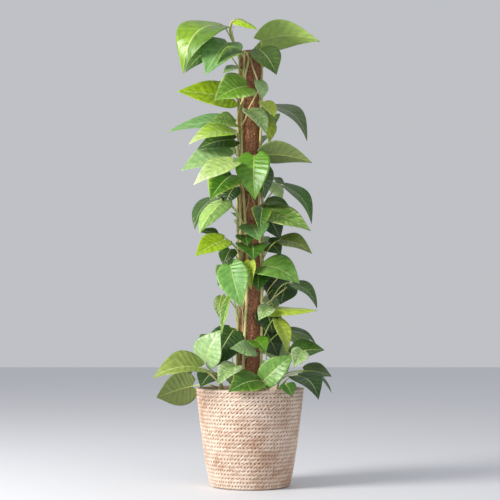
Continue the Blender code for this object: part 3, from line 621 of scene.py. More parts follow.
draw = np.random.default_rng(5)
soil_low, soil_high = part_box("compost")
soil_radius = soil_high.x - SOIL_EASE
turn = np.linspace(0, TAU, SOIL_COLUMNS, endpoint=False)
rings = np.linspace(SOIL_MIDDLE, soil_radius, SOIL_RINGS)[::-1, None]
ring_x = rings * np.cos(turn)
ring_y = rings * np.sin(turn)
waves = draw.uniform(-1, 1, (SOIL_WAVES, 3)) * SOIL_WAVE_SPREAD
rough = sum(np.sin(kx * ring_x + ky * ring_y + shift) for kx, ky, shift in waves) / 5
rise = SOIL_RISE * (1 - (rings / soil_radius) ** 2)
level = SOIL_TOP - SOIL_SINK + rise + SOIL_ROUGHNESS * rough
level[0] = SOIL_TOP - SOIL_EDGE_DROP
side_height = np.linspace(soil_low.z, SOIL_TOP - SOIL_SIDE_DROP, SOIL_SIDE_ROWS)
side_share = (side_height - soil_low.z) / (SOIL_TOP - soil_low.z)
side_radius = SOIL_FOOT_RADIUS + (soil_radius - SOIL_FOOT_RADIUS) * side_share
soil_grid = np.vstack((turned(side_radius, side_height, turn), round_axis(rings, turn, level)))
print("compost rises %.1f mm over its rim" % ((level.max() - level[0, 0]) / MM))

# %% Compost finish
soil_finish, tree, shader = new_finish("compost")
place = own_place(tree)
crumb = noise(tree, place, 260, 5, 0.65)
bark = span(tree, noise(tree, place, 120, 2), 0.62, 0.68)
soil_colour = two_tone(tree, crumb, 0.35, 0.7, (38, 28, 22), (82, 62, 46))
soil_colour = blend_colours(tree, bark, soil_colour, solid_colour(120, 84, 56))
connect(tree, shader, {"Base Color": soil_colour, "Roughness": 0.92})
raise_bumps(tree, shader, crumb, 0.0016)
soil_shell = closed_grid(soil_grid, soil_low.z, SOIL_TOP + SOIL_RISE)
soil = add_piece("compost_bed", *soil_shell, soil_finish)
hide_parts("compost")

# %% Loose crumbs
CRUMBS = 700
CRUMB_SIZE = (0.8, 2.6)
CRUMB_PULL = (0.55, 1.0)
CRUMB_LIFT = 0.6 * MM
CRUMB_AREA = (0.07, 0.95)
BOX_CORNERS = np.array(list(product((-1, 1), repeat=3)), float)
BOX_FACES = np.array(
    ((0, 1, 3, 2), (4, 6, 7, 5), (0, 4, 5, 1), (2, 3, 7, 6), (0, 2, 6, 4), (1, 5, 7, 3))
)

draw = np.random.default_rng(8)
away = soil_radius * np.sqrt(draw.uniform(*CRUMB_AREA, CRUMBS))
angle = draw.uniform(0, TAU, CRUMBS)
crumb_size = draw.uniform(*CRUMB_SIZE, CRUMBS) * MM
crumb_level = SOIL_TOP + SOIL_RISE * (1 - (away / soil_radius) ** 2) + CRUMB_LIFT
centres = round_axis(away, angle, crumb_level)
pulls = draw.uniform(*CRUMB_PULL, (CRUMBS, 8, 3))
spin = np.linalg.qr(draw.normal(size=(CRUMBS, 3, 3)))[0]
spin *= np.sign(np.linalg.det(spin))[:, None, None]
boxes = np.einsum("cij,ckj->cki", spin, BOX_CORNERS * pulls) * crumb_size[:, None, None]
crumb_points = (boxes + centres[:, None]).reshape(-1, 3)
crumb_faces = (BOX_FACES[None] + 8 * np.arange(CRUMBS)[:, None, None]).reshape(-1, 4)
crumbs = add_piece("compost_crumbs", crumb_points, [crumb_faces], soil_finish, False)

# %% [markdown]
# ## Coir pole
#
# The pole is a stake wrapped in coconut fibre. It is red-brown, lumpy and hairy. A particle
# system could grow the hair, but hair isn't kept when the object is exported, so each fibre
# here is a fine three-sided thread that lies over a lumpy sleeve.

# %% Shape of the coir sleeve
COIR_RADIUS = 23.5 * MM
COIR_LUMP = 0.9 * MM
COIR_FOOT = 140 * MM
COIR_TOP = 1009 * MM
COIR_ROWS = 420
COIR_COLUMNS = 84
COIR_SINK = 1.3 * MM
COIR_KNOT = 1.2 * MM
COIR_ROUGHNESS = 1.1 * MM
COIR_END = 6 * MM
COIR_WAVES = 40
# waves round the pole, then up it one way and the other
KNOT_TURNS, KNOT_CLIMB, KNOT_FALL = 9, 300, -270

draw = np.random.default_rng(21)
turn = np.linspace(0, TAU, COIR_COLUMNS, endpoint=False)
coir_height = np.linspace(COIR_FOOT, COIR_TOP, COIR_ROWS)[:, None]
knots = np.cos(KNOT_TURNS * turn + KNOT_CLIMB * coir_height)
knots = knots * np.cos(KNOT_TURNS * turn + KNOT_FALL * coir_height)
round_waves = draw.integers(2, 22, COIR_WAVES)
up_waves = draw.uniform(-520, 520, COIR_WAVES)
shifts = draw.uniform(0, TAU, COIR_WAVES)
rough = sum(
    np.sin(waves * turn + climb * coir_height + shift)
    for waves, climb, shift in zip(round_waves, up_waves, shifts)
) / 6
coir_relief = COIR_KNOT * knots - COIR_SINK + COIR_ROUGHNESS * rough
coir_radius = COIR_RADIUS + np.minimum(coir_relief, COIR_LUMP)
end_share = np.minimum(coir_height - COIR_FOOT, COIR_TOP - coir_height) / COIR_END
coir_radius *= 0.8 + 0.2 * np.sqrt(np.clip(end_share, 0, 1))
print("coir radius in millimetres: %.1f to %.1f" % (coir_radius.min() / MM, coir_radius.max() / MM))

# %% Coir finish
coir_finish, tree, shader = new_finish("coir")
place = own_place(tree)
fibre = noise(tree, stretched(tree, place, (1, 1, 0.45)), 420, 5, 0.7)
clump = span(tree, noise(tree, place, 60, 3), 0.4, 0.7, 0.0, 0.5)
coir_colour = two_tone(tree, fibre, 0.35, 0.68, (124, 76, 52), (202, 146, 112))
coir_colour = blend_colours(tree, clump, coir_colour, solid_colour(164, 116, 90))
connect(tree, shader, {"Base Color": coir_colour, "Roughness": 0.9, "Specular IOR Level": 0.2})
raise_bumps(tree, shader, fibre, 0.0016)
coir = add_turned("coir_sleeve", coir_radius, coir_height[:, 0], turn, coir_finish)
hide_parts("pole_coir")


# %% Threads along many paths at once
def add_threads(name, paths, radii, sides, finish):
    """Add many fine tubes as one piece. paths has a row of points for each thread.

    Round each point the tube's corners lie on a circle across the path, whose first direction
    is the cross product of the path and a fixed slanted line.
    """
    forward = unit(np.gradient(paths, axis=1))
    side = unit(np.cross(forward, (0.36, 0.48, 0.8)))
    other = np.cross(forward, side)
    turn = TAU * (np.arange(sides) + 0.5) / sides
    ring = np.cos(turn)[:, None] * side[:, :, None] + np.sin(turn)[:, None] * other[:, :, None]
    points = paths[:, :, None] + ring * radii[..., None, None]
    count, length = paths.shape[:2]
    ends = np.stack((np.arange(sides)[::-1], (length - 1) * sides + np.arange(sides)))
    shift = length * sides * np.arange(count)[:, None, None]
    quads = (round_faces(length, sides) + shift).reshape(-1, 4)
    return add_piece(name, points.reshape(-1, 3), [quads, (ends + shift).reshape(-1, sides)], finish)


# %% Coir fibres
FIBRES = 2200
FIBRE_POINTS = 5
FIBRE_SIDES = 3
FIBRE_RADIUS = 0.22 * MM
FIBRE_TURN = 0.5
FIBRE_CLIMB = 9
FIBRE_LIFT = 1.1

draw = np.random.default_rng(33)
share = np.linspace(0, 1, FIBRE_POINTS)
start_turn = draw.uniform(0, TAU, (FIBRES, 1))
start_height = draw.uniform(SOIL_TOP, COIR_TOP - 6 * MM, (FIBRES, 1))
reach_turn = draw.normal(0, FIBRE_TURN, (FIBRES, 1))
reach_height = draw.normal(0, FIBRE_CLIMB, (FIBRES, 1)) * MM
lift = np.abs(draw.normal(0, FIBRE_LIFT, (FIBRES, 1))) * MM
fibre_height = np.clip(start_height + reach_height * share, SOIL_TOP, COIR_TOP - 1 * MM)
fibre_away = COIR_RADIUS - 0.6 * MM + lift * np.sin(math.pi * share) * 1.5 + lift * share * 0.8
fibre_paths = round_axis(fibre_away, start_turn + reach_turn * share, fibre_height)
fibre_radii = np.full((FIBRES, FIBRE_POINTS), FIBRE_RADIUS) * draw.uniform(0.7, 1.4, (FIBRES, 1))

fibre_finish, tree, shader = new_finish("coir fibre")
fibre_colour = blend_colours(
    tree, stored(tree, "shade")[1], solid_colour(132, 84, 60), solid_colour(212, 160, 122)
)
connect(tree, shader, {"Base Color": fibre_colour, "Roughness": 0.7})
fibres = add_threads("coir_fibres", fibre_paths, fibre_radii, FIBRE_SIDES, fibre_finish)
paint(fibres, "shade", np.repeat(draw.uniform(0, 1, FIBRES), FIBRE_POINTS * FIBRE_SIDES))

# %% [markdown]
# ## Where the plant grows
#
# The stems, stalks and blades were placed when the solids were made, by a table of leaves and
# one rule: a leaf moves as little as it needs to stay clear of its neighbours. The fine
# leaves have to lie exactly on those solids, so the same tables and the same rule are
# repeated here. Each leaf also gets the name of its colouring.

# %% Measures of stems, stalks and blades
SOIL_RING = 38.5 * MM
STEM_RADIUS = 3.4 * MM
STEM_TIP_RADIUS = 2.2 * MM
STEM_SIDES = 5
STEM_STEP = 62 * MM
STEM_DEPTH = 55 * MM
STEM_POLE_GAP = 1.9 * MM
STEM_SPLAY_FROM = 200 * MM
STEM_SPLAY_TO = 262 * MM
STEM_WAVE = 12.0
STEM_WAVES = 9
STEM_COLLAR = 8 * MM
STALK_RADIUS = 1.7 * MM
STALK_TIP_RADIUS = 1.3 * MM
STALK_SIDES = 3
STALK_STEPS = 4
STALK_INTO_BLADE = 0.16
STALK_OUT = 0.2
STALK_UP = 0.32
STALK_BACK = 0.26
STALK_UNDER = 0.12
JOINT_LOWEST = 22 * MM
JOINT_BELOW_TOP = 4 * MM
JOINT_DROP = 0.75
BLADE_THICKNESS = 0.9 * MM
WIDE_BLADE = 60 * MM
WIDE_STATIONS = (0.0, 0.2, 0.43, 0.66, 0.86, 1.0)
NARROW_STATIONS = (0.0, 0.25, 0.52, 0.8, 1.0)
BLADE_COLUMNS = (-1.0, 0.0, 1.0)
LOBE_BACK = 0.13
BLADE_START = 0.09
BLADE_FULLNESS = 0.85
BLADE_TIP_DRAW = 0.4
EDGE_POWER = 1.35
MIDDLE_POWER = 1.2
CLEARANCE = 1.3 * MM
# the furthest that the lumpy coir reaches from the pole's middle
COIR_LIMIT = COIR_RADIUS + COIR_LUMP

# %% Tables of stems
# name, direction round the pole at the soil, turn on the way up, height of its top
VINES = (
    ("vine_left", 207, 10, 998),
    ("vine_front", 250, -12, 1004),
    ("vine_right", 322, 8, 1001),
    ("vine_rear_left", 158, -8, 985),
    ("vine_rear_right", 15, 12, 990),
    ("vine_rear", 88, 10, 978),
)

# name, direction and distance from the pole, height of its top, outward lean
SHOOTS = (
    ("shoot_left", 205, 66, 246, 12),
    ("shoot_front", 272, 68, 236, 8),
    ("shoot_right", 338, 66, 262, 12),
    ("shoot_rear_left", 118, 64, 268, 10),
    ("shoot_rear_right", 55, 62, 262, 10),
)
print("stems on the pole:", len(VINES), "short shoots:", len(SHOOTS))

# %% Leaves of the near side
# name, stem, stalk joint (x, y, z), tip (x, y, z), width, the way its upper side faces
# (direction, elevation), arch along it, fold of its halves, colouring
LEAVES = (
    ("crown_left", "vine_left", (-74, -28, 1072), (-156, -66, 955), 118, (240, 20), 44, 4, "halved"),
    ("crown_under", "vine_rear_left", (-86, -14, 1022), (-152, -30, 958), 54, (244, 20), 6, 6, "dark"),
    ("crown_blue", "vine_front", (-52, -46, 1029), (-103, -98, 953), 98, (258, 20), 12, 8, "blue"),
    ("crown_curl", "vine_front", (-20, -62, 1004), (-78, -128, 977), 52, (262, 32), 6, 30, "eyed"),
    ("crown_right", "vine_rear_right", (25, -12, 1034), (164, -4, 1032), 80, (92, 34), 36, 12, "crown"),
    ("crown_furled", "vine_rear_left", (-34, -8, 1084), (17, -26, 1060), 30, (270, 44), 4, -20, "yellow"),
    ("crown_dark", "vine_right", (24, -36, 1012), (62, -66, 953), 76, (290, 18), 8, 6, "streaky"),
    ("upper_yellow", "vine_left", (-42, -22, 897), (-171, -44, 914), 84, (270, 34), 6, 8, "yellow"),
    ("upper_front", "vine_front", (-8, -62, 926), (-84, -112, 893), 86, (268, 22), 10, 14, "edged"),
    ("upper_scrap", "vine_front", (-26, -52, 968), (-64, -96, 956), 34, (268, 45), 6, 10, "pale"),
    ("upper_round", "vine_right", (22, -36, 938), (27, -50, 895), 40, (306, 16), 5, 6, "pale"),
    ("upper_reach", "vine_left", (-46, -10, 842), (-192, -32, 818), 66, (262, 50), 10, 6, "blue"),
    ("upper_frill", "vine_front", (-36, -44, 839), (-95, -84, 841), 50, (266, 28), 6, 18, "cream"),
    ("upper_lime", "vine_left", (-37, -44, 818), (-143, -86, 789), 78, (268, 56), 15, 8, "lime_tip"),
    ("upper_under", "vine_rear_left", (-38, -6, 800), (-124, -16, 777), 68, (268, 44), 8, 6, "dark"),
    ("mid_pale", "vine_left", (-46, -26, 759), (-160, -64, 728), 98, (264, 43), 7, 20, "pale"),
    ("mid_white", "vine_front", (-40, -34, 748), (-132, -88, 694), 68, (262, 48), 6, 10, "pale_tip"),
    ("mid_bright", "vine_front", (-42, -48, 717), (-93, -102, 658), 84, (256, 20), 10, 12, "eyed"),
    ("mid_front", "vine_right", (10, -78, 761), (12, -104, 659), 84, (256, 16), 9, 14, "fresh"),
    ("mid_shade", "vine_right", (17, -44, 742), (34, -62, 662), 64, (292, 6), 8, 4, "dark"),
    ("upper_arc", "vine_rear_right", (52, -2, 877), (133, -26, 797), 80, (316, 32), 24, 10, "grey"),
    ("upper_stripe", "vine_right", (0, -52, 870), (37, -80, 815), 62, (300, 32), 7, 12, "striped"),
    ("upper_tuck", "vine_right", (33, -40, 889), (58, -62, 852), 44, (300, 30), 5, 6, "lime"),
    ("upper_fold", "vine_right", (30, -24, 858), (44, -50, 792), 60, (318, 12), 7, 10, "lime"),
    ("mid_right", "vine_rear_right", (30, -28, 765), (145, -26, 746), 74, (92, 52), 10, 14, "olive"),
    ("mid_droop", "vine_left", (-82, -26, 662), (-128, -48, 590), 74, (216, 32), 14, 8, "dark"),
    ("mid_pleat", "vine_front", (-64, -62, 655), (-118, -104, 581), 72, (238, 42), 8, -6, "shaded"),
    ("mid_small", "vine_rear_left", (-76, -12, 581), (-118, -30, 585), 30, (262, 40), 3, 6, "dark"),
    ("mid_under", "vine_rear_left", (-38, -4, 688), (-60, -20, 642), 46, (250, 20), 4, 4, "deep"),
    ("mid_yellow", "vine_left", (-60, -42, 566), (-127, -88, 528), 70, (266, 44), 5, 10, "yellow"),
    ("mid_low", "vine_rear_left", (-46, -16, 543), (-62, -30, 506), 46, (248, 10), 4, 4, "dark"),
    ("mid_broad", "vine_front", (6, -54, 556), (8, -138, 518), 80, (270, 42), 10, 8, "green"),
    ("mid_patch", "vine_front", (-10, -46, 578), (-6, -92, 552), 48, (268, 36), 5, 6, "green"),
    ("mid_grey", "vine_front", (6, -58, 600), (20, -100, 564), 74, (272, 34), 5, 12, "blue"),
    ("mid_lime", "vine_right", (28, -36, 637), (22, -80, 588), 50, (274, 28), 7, 24, "splashed"),
    ("mid_arc", "vine_rear_right", (82, -18, 691), (143, -40, 603), 64, (316, 30), 18, 12, "green"),
    ("mid_bit", "vine_rear_right", (58, -4, 708), (84, 0, 690), 30, (320, 40), 3, 6, "dark"),
    ("mid_dark", "vine_rear_right", (34, -28, 652), (90, -54, 646), 58, (280, 56), 6, 6, "dark"),
    ("mid_cream", "vine_right", (35, -52, 632), (141, -92, 587), 86, (278, 52), 6, 8, "cream"),
    ("mid_deep", "vine_rear_right", (38, 0, 624), (70, -6, 568), 68, (300, 4), 5, 4, "deep"),
    ("mid_olive", "vine_rear_right", (74, -34, 566), (144, -56, 534), 60, (282, 48), 8, 12, "olive"),
    ("mid_hollow", "vine_rear_right", (42, -18, 561), (72, -28, 531), 56, (290, 22), 5, 6, "dark"),
    ("low_heart", "vine_front", (-45, -72, 506), (-19, -100, 409), 74, (258, 14), 9, 8, "blue_edge"),
    ("low_lime", "vine_front", (2, -78, 515), (3, -100, 450), 36, (252, 10), 6, 32, "lime"),
    ("low_green", "vine_right", (18, -58, 494), (20, -92, 447), 58, (272, 28), 6, 6, "green"),
    ("low_round", "vine_right", (30, -46, 506), (116, -86, 463), 92, (282, 42), 14, 8, "light"),
    ("low_arc", "vine_rear_right", (102, -44, 464), (155, -48, 407), 54, (320, 30), 13, 10, "dark"),
    ("low_deep", "vine_rear_right", (64, 14, 486), (46, 10, 424), 66, (280, 4), 5, 4, "deep"),
    ("low_shade", "vine_rear_right", (82, -2, 462), (70, -24, 416), 62, (280, 22), 5, 4, "deep"),
    ("low_spear", "vine_right", (43, -52, 404), (156, -78, 402), 54, (272, 64), 2, -12, "lime"),
    ("low_hang", "vine_right", (64, -62, 379), (85, -88, 304), 42, (300, 14), 10, 14, "lime"),
    ("low_stripe", "vine_right", (46, -68, 410), (20, -92, 379), 42, (262, 36), 5, 12, "striped"),
    ("low_hook", "vine_rear_right", (88, -20, 356), (152, -34, 326), 40, (300, 60), 9, 8, "dark"),
    ("base_right", "shoot_right", (96, -38, 303), (172, -60, 311), 78, (282, 50), 5, 8, "dark"),
    ("base_streak", "shoot_right", (119, -74, 309), (101, -98, 270), 42, (276, 22), 5, 14, "striped"),
    ("base_leaning", "shoot_front", (34, -112, 242), (104, -124, 300), 62, (282, 34), 8, 12, "light"),
    ("base_front", "shoot_front", (18, -96, 241), (-50, -140, 214), 76, (272, 44), 9, 8, "splashed"),
    ("base_curl", "vine_front", (-34, -80, 274), (-74, -118, 230), 54, (258, 40), 7, 18, "striped"),
    ("base_pale", "shoot_left", (-102, -62, 285), (-67, -72, 358), 82, (246, 22), 9, 8, "pale"),
    ("low_sliver", "vine_left", (-47, -56, 430), (-65, -76, 345), 26, (240, 18), 5, 36, "cream"),
    ("low_flag", "vine_left", (-66, -46, 434), (-70, -62, 385), 32, (236, 18), 5, 10, "moss"),
    ("base_deep", "shoot_rear_left", (-42, 34, 344), (-88, 16, 260), 82, (258, 10), 7, 4, "deep"),
    ("base_wide", "shoot_left", (-115, -92, 270), (-225, -120, 245), 84, (264, 48), 16, 24, "olive_light"),
    ("base_olive", "shoot_left", (-134, 24, 220), (-216, -8, 194), 84, (100, 12), 6, 6, "olive"),
    ("base_shadow", "shoot_rear_left", (-88, -6, 258), (-114, -40, 225), 58, (252, 28), 5, 6, "deep"),
    ("low_pale", "vine_front", (10, -50, 319), (-46, -84, 323), 46, (268, 30), 2, 12, "pale"),
    ("low_band", "vine_right", (12, -54, 334), (37, -86, 305), 52, (284, 40), 5, 16, "fresh"),
    ("base_dark", "shoot_right", (110, -62, 252), (158, -98, 197), 82, (306, 32), 16, 8, "deep"),
    ("base_grey", "shoot_right", (126, -32, 263), (189, -52, 250), 60, (288, 46), 5, 8, "grey"),
    ("base_narrow", "shoot_rear_right", (127, -16, 262), (188, -30, 213), 46, (338, 48), 10, 10, "dark"),
    ("base_rim", "shoot_right", (83, -116, 232), (97, -138, 203), 38, (282, 30), 4, 10, "green"),
    ("base_back", "shoot_rear_right", (32, 2, 362), (66, -4, 296), 82, (275, 6), 6, 4, "deep"),
    ("low_behind", "vine_rear_right", (38, 6, 404), (53, 2, 348), 62, (276, 6), 5, 4, "deep"),
)
print("leaves in the table:", len(LEAVES))

# %% Leaves of the far side
FAR_COUNT = 20
FAR_LOWEST = 322
FAR_HIGHEST = 985
FAR_SEED = 7
FAR_STEMS = ("vine_rear", "vine_rear_left", "vine_rear", "vine_rear_right")
FAR_DIRECTIONS = (84, 108, 98, 74)
FAR_STRAY = 10
FAR_JITTER = 12
FAR_REACH = (62, 90)
FAR_LENGTH = (84, 106)
FAR_DROOP = (12, 46)
FAR_TWIST = 22
FAR_ROLL = 24
FAR_WIDTH = (68, 90)
FAR_ARCH = (8, 20)
FAR_FOLD = 9
LOW_FAR_COUNT = 6
LOW_FAR_LOWEST = 262
LOW_FAR_STEP = 18
LOW_FAR_STEMS = ("shoot_rear_left", "shoot_rear_right")
LOW_FAR_DIRECTIONS = (128, 52)
LOW_FAR_STRAY = 26
LOW_FAR_REACH = (92, 108)
# the dark colouring is partly painted shade
FAR_COLOURINGS = ("green", "fresh", "dark", "splashed", "pale", "light", "striped")


# %% Rule for the far side
def towards(direction, elevation):
    """Unit vector at a compass direction from +X and an elevation, in degrees."""
    turn = math.radians(direction)
    lift = math.radians(elevation)
    level = math.cos(lift)
    return np.array((level * math.cos(turn), level * math.sin(turn), math.sin(lift)))


def far_leaf(name, stem, height, direction, reaches, draw):
    """One row of the leaf table for a leaf of the far side: it droops and twists by chance."""
    reach = draw.uniform(*reaches)
    course = direction + draw.uniform(-FAR_TWIST, FAR_TWIST)
    droop = draw.uniform(*FAR_DROOP)
    length = draw.uniform(*FAR_LENGTH)
    base = reach * towards(direction, 0) + np.array((0, 0, height))
    tip = base + length * towards(course, -droop)
    facing = (course + draw.uniform(-FAR_ROLL, FAR_ROLL), 90 - droop)
    return name, stem, base, tip, draw.uniform(*FAR_WIDTH), facing, draw.uniform(*FAR_ARCH), FAR_FOLD


def far_leaves():
    """Leaves of the far side: spaced up the rear stems, turned outwards and hanging."""
    draw = random.Random(FAR_SEED)
    rows = []
    for number in range(FAR_COUNT):
        share = number / (FAR_COUNT - 1)
        height = FAR_LOWEST + (FAR_HIGHEST - FAR_LOWEST) * share
        height += draw.uniform(-FAR_JITTER, FAR_JITTER)
        direction = FAR_DIRECTIONS[number % 4] + draw.uniform(-FAR_STRAY, FAR_STRAY)
        row = far_leaf("far_%02d" % number, FAR_STEMS[number % 4], height, direction, FAR_REACH, draw)
        rows.append((*row, FAR_COLOURINGS[number % 7]))
    for number in range(LOW_FAR_COUNT):
        direction = LOW_FAR_DIRECTIONS[number % 2] + draw.uniform(-LOW_FAR_STRAY, LOW_FAR_STRAY)
        height = LOW_FAR_LOWEST + LOW_FAR_STEP * number
        stem = LOW_FAR_STEMS[number % 2]
        row = far_leaf("far_low_%d" % number, stem, height, direction, LOW_FAR_REACH, draw)
        rows.append((*row, FAR_COLOURINGS[(number + 3) % 7]))
    return rows


# %% [markdown]
# A vine is a path beside the pole. It spreads where it enters the compost and weaves a little
# on its way up. A blade is a surface of two parameters: how far along it and how far across.
# Its half width follows a sine, its edges start behind the stalk, which makes the heart's two
# lobes, and it is arched along and folded across.


# %% Paths of stems
def seen_at(place):
    """A place read in the pole's plane, carried along the line of sight to its own depth."""
    x, y, z = (value * MM for value in place)
    reach = 1 + y / VIEW_DISTANCE
    return np.array((x * reach, y, EYE_HEIGHT + (z - EYE_HEIGHT) * reach))


def vine_point(direction, turn, height):
    """Middle of a vine at a height."""
    share = (height - SOIL_TOP) / (COIR_TOP - SOIL_TOP)
    splay = (STEM_SPLAY_TO - height) / (STEM_SPLAY_TO - STEM_SPLAY_FROM)
    splay = min(max(splay, 0), 1)
    splay = splay * splay * (3 - 2 * splay)
    climbing = 1 - splay
    close = COIR_LIMIT + STEM_RADIUS + STEM_POLE_GAP
    away = close + (SOIL_RING - close) * splay
    wave = STEM_WAVE * math.sin(STEM_WAVES * share + math.radians(direction)) * climbing
    angle = math.radians(direction + turn * max(share, 0) * climbing + wave)
    return np.array((away * math.cos(angle), away * math.sin(angle), height))


def shoot_point(direction, distance, top, lean, height):
    """Middle of a short shoot at a height: it leans outwards above the soil."""
    share = max((height - SOIL_TOP - STEM_COLLAR) / (top * MM - SOIL_TOP), 0)
    away = (distance + lean * share * share) * MM
    angle = math.radians(direction)
    return np.array((away * math.cos(angle), away * math.sin(angle), height))


def stem_tables():
    """For each stem, a function of height and the height of its top."""
    stems = {}
    for name, direction, turn, top in VINES:
        stems[name] = (partial(vine_point, direction, turn), top * MM)
    for name, direction, distance, top, lean in SHOOTS:
        stems[name] = (partial(shoot_point, direction, distance, top, lean), top * MM)
    return stems


# %% Surface of a blade
def blade_frame(base, tip, facing):
    """Length, the way along the blade, the way across it and the way its upper side faces."""
    chord = tip - base
    length = np.linalg.norm(chord)
    along = chord / length
    up = unit(facing - along * np.dot(facing, along))
    return length, along, np.cross(along, up), up


def blade_surface(leaf, along, across):
    """Points of a blade's middle surface.

    along is 0 at the stalk and 1 at the tip, across is -1 to 1 from edge to edge. The half
    width is a sine of along, drawn in near the tip, and the edge starts behind the stalk, which
    makes the two lobes of the heart. The arch is a parabola over the chord, and the fold lifts
    both halves from the midrib.
    """
    base, tip, width, facing, arch, fold = leaf
    length, forward, sideways, up = blade_frame(base, tip, facing)
    swell = np.sin(np.pi * (BLADE_START + (1 - BLADE_START) * along)) ** BLADE_FULLNESS
    half = 0.5 * width * swell * (1 - BLADE_TIP_DRAW * along ** 6)
    edge = -LOBE_BACK + (1 + LOBE_BACK) * along ** EDGE_POWER
    middle = along ** MIDDLE_POWER
    reach = middle + (edge - middle) * np.abs(across)
    spread = half * across * math.cos(fold)
    lift = 4 * arch * reach * (1 - reach) + half * np.abs(across) * math.sin(fold)
    place = base + forward * (reach * length)[..., None]
    return place + sideways * spread[..., None] + up * lift[..., None]


# %% Closed shell of a blade
def blade_shell(leaf, thickness, stations, columns, relief=None):
    """Vertices and triangles of a blade, split alike on its upper and its under side.

    relief is a function of along and across that lifts the surface along its own normal. The
    last station is the tip, one point on each side.
    """
    along, across = np.meshgrid(stations[:-1], columns, indexing="ij")
    step = 1e-3
    middle = blade_surface(leaf, along, across)
    onward = blade_surface(leaf, along + step, across) - middle
    inner = across * (1 - step)
    outward = blade_surface(leaf, along, inner + step) - blade_surface(leaf, along, inner - step)
    normal = unit(np.cross(outward, onward))
    if relief:
        middle = middle + normal * relief(along, across)[..., None]
    up = blade_frame(leaf[0], leaf[1], leaf[3])[3]
    tip = blade_surface(leaf, np.array(1.0), np.array(0.0))
    half = thickness / 2
    rows, count = along.shape
    top = np.vstack(((middle + normal * half).reshape(-1, 3), tip + up * half))
    bottom = np.vstack(((middle - normal * half).reshape(-1, 3), tip - up * half))
    point = rows * count
    under = point + 1
    row, column = np.meshgrid(np.arange(rows - 1), np.arange(count - 1), indexing="ij")
    a = row * count + column
    b, c, d = a + 1, a + count + 1, a + count
    left = (across[:-1, :-1] < -0.01)[..., None]
    one = np.where(left, np.stack((a, b, d), 2), np.stack((a, b, c), 2)).reshape(-1, 3)
    two = np.where(left, np.stack((b, c, d), 2), np.stack((a, c, d), 2)).reshape(-1, 3)
    last = (rows - 1) * count + np.arange(count - 1)
    fan = np.stack((last, last + 1, np.full(count - 1, point)), 1)
    upper = np.vstack((one, two, fan))
    edge = np.concatenate((
        np.arange(count), np.arange(2, rows + 1) * count - 1, (point,),
        np.arange(rows - 1, 0, -1) * count,
    ))
    ahead = np.roll(edge, -1)
    sides = np.vstack((
        np.stack((edge, under + edge, under + ahead), 1), np.stack((edge, under + ahead, ahead), 1)
    ))
    return np.vstack((top, bottom)), np.vstack((upper, under + upper[:, ::-1], sides))


# %% Tubes and stalks
def tube(points, radii, sides):
    """Vertices, quads and two end caps of a tube round a path, its turn carried along."""
    points = np.asarray(points)
    forward = np.gradient(points, axis=0)
    side = unit(np.cross(forward[0], (0.31, 0.17, 0.94)))
    turn = TAU * (np.arange(sides) + 0.5) / sides
    rings = []
    for point, way, radius in zip(points, forward, radii):
        way = unit(way)
        side = unit(side - way * np.dot(side, way))
        other = np.cross(way, side)
        rings.append(point + radius * (np.outer(np.cos(turn), side) + np.outer(np.sin(turn), other)))
    count = len(points)
    caps = np.stack((np.arange(sides)[::-1], (count - 1) * sides + np.arange(sides)))
    return np.vstack(rings), round_faces(count, sides), caps


def stalk_path(root, leaf, bow, steps=STALK_STEPS):
    """Points of a leaf stalk: up and out from the stem, then over into the blade's underside."""
    base, tip, _, facing, _, _ = leaf
    _, forward, _, up = blade_frame(base, tip, facing)
    reach = np.linalg.norm(base - root)
    level = (base - root) * (1, 1, 0)
    outward = level / max(np.linalg.norm(level), 1e-6)
    aside = np.array((-outward[1], outward[0], 0))
    first = root + reach * (STALK_OUT * outward + STALK_UP * np.array((0, 0, 1))) + aside * bow
    second = base - reach * (STALK_BACK * forward + STALK_UNDER * up) + aside * bow
    share = np.linspace(0, 1, steps + 1)[:, None]
    rest = 1 - share
    points = rest ** 3 * root + 3 * rest ** 2 * share * first
    points = points + 3 * rest * share ** 2 * second + share ** 3 * base
    points[-1] = blade_surface(leaf, np.array(STALK_INTO_BLADE), np.array(0.0))
    return points


# %% Room for each leaf
DEPTH_MOVES = (0, -7, 7, -14, 14, -21, 21, -28, 28, -36, 36, -46, 46, -58, 58)
JOINT_MOVES = (0, 14, -14, -28, 28, 44, -44)
BOW_MOVES = (0, 12, -12)
RISE_MOVES = (0, 8, -8, 16, -16)
LINER_INSET = 3 * MM
KEEP_OUT_SIDES = 24
KEEP_OUT_FACTOR = 1 / math.cos(math.pi / KEEP_OUT_SIDES)
POT_TOP = 204 * MM
POT_INNER_RADIUS = 100 * MM
POT_MID_RADIUS = 90 * MM
POT_MID = 120 * MM


def tree_of(vertices, *faces):
    """A search tree of a shape's faces, for finding what crosses it."""
    corners = [face for group in faces for face in np.asarray(group).tolist()]
    return BVHTree.FromPolygons(np.asarray(vertices).tolist(), corners)


def ring_tree(profile):
    """A search tree of a closed loop of (radius, height) points turned round the Z axis."""
    radius, height = np.transpose(profile)
    turn = TAU * np.arange(KEEP_OUT_SIDES) / KEEP_OUT_SIDES
    points = turned(radius, height, turn).reshape(-1, 3)
    return tree_of(points, round_faces(len(profile), KEEP_OUT_SIDES, True))


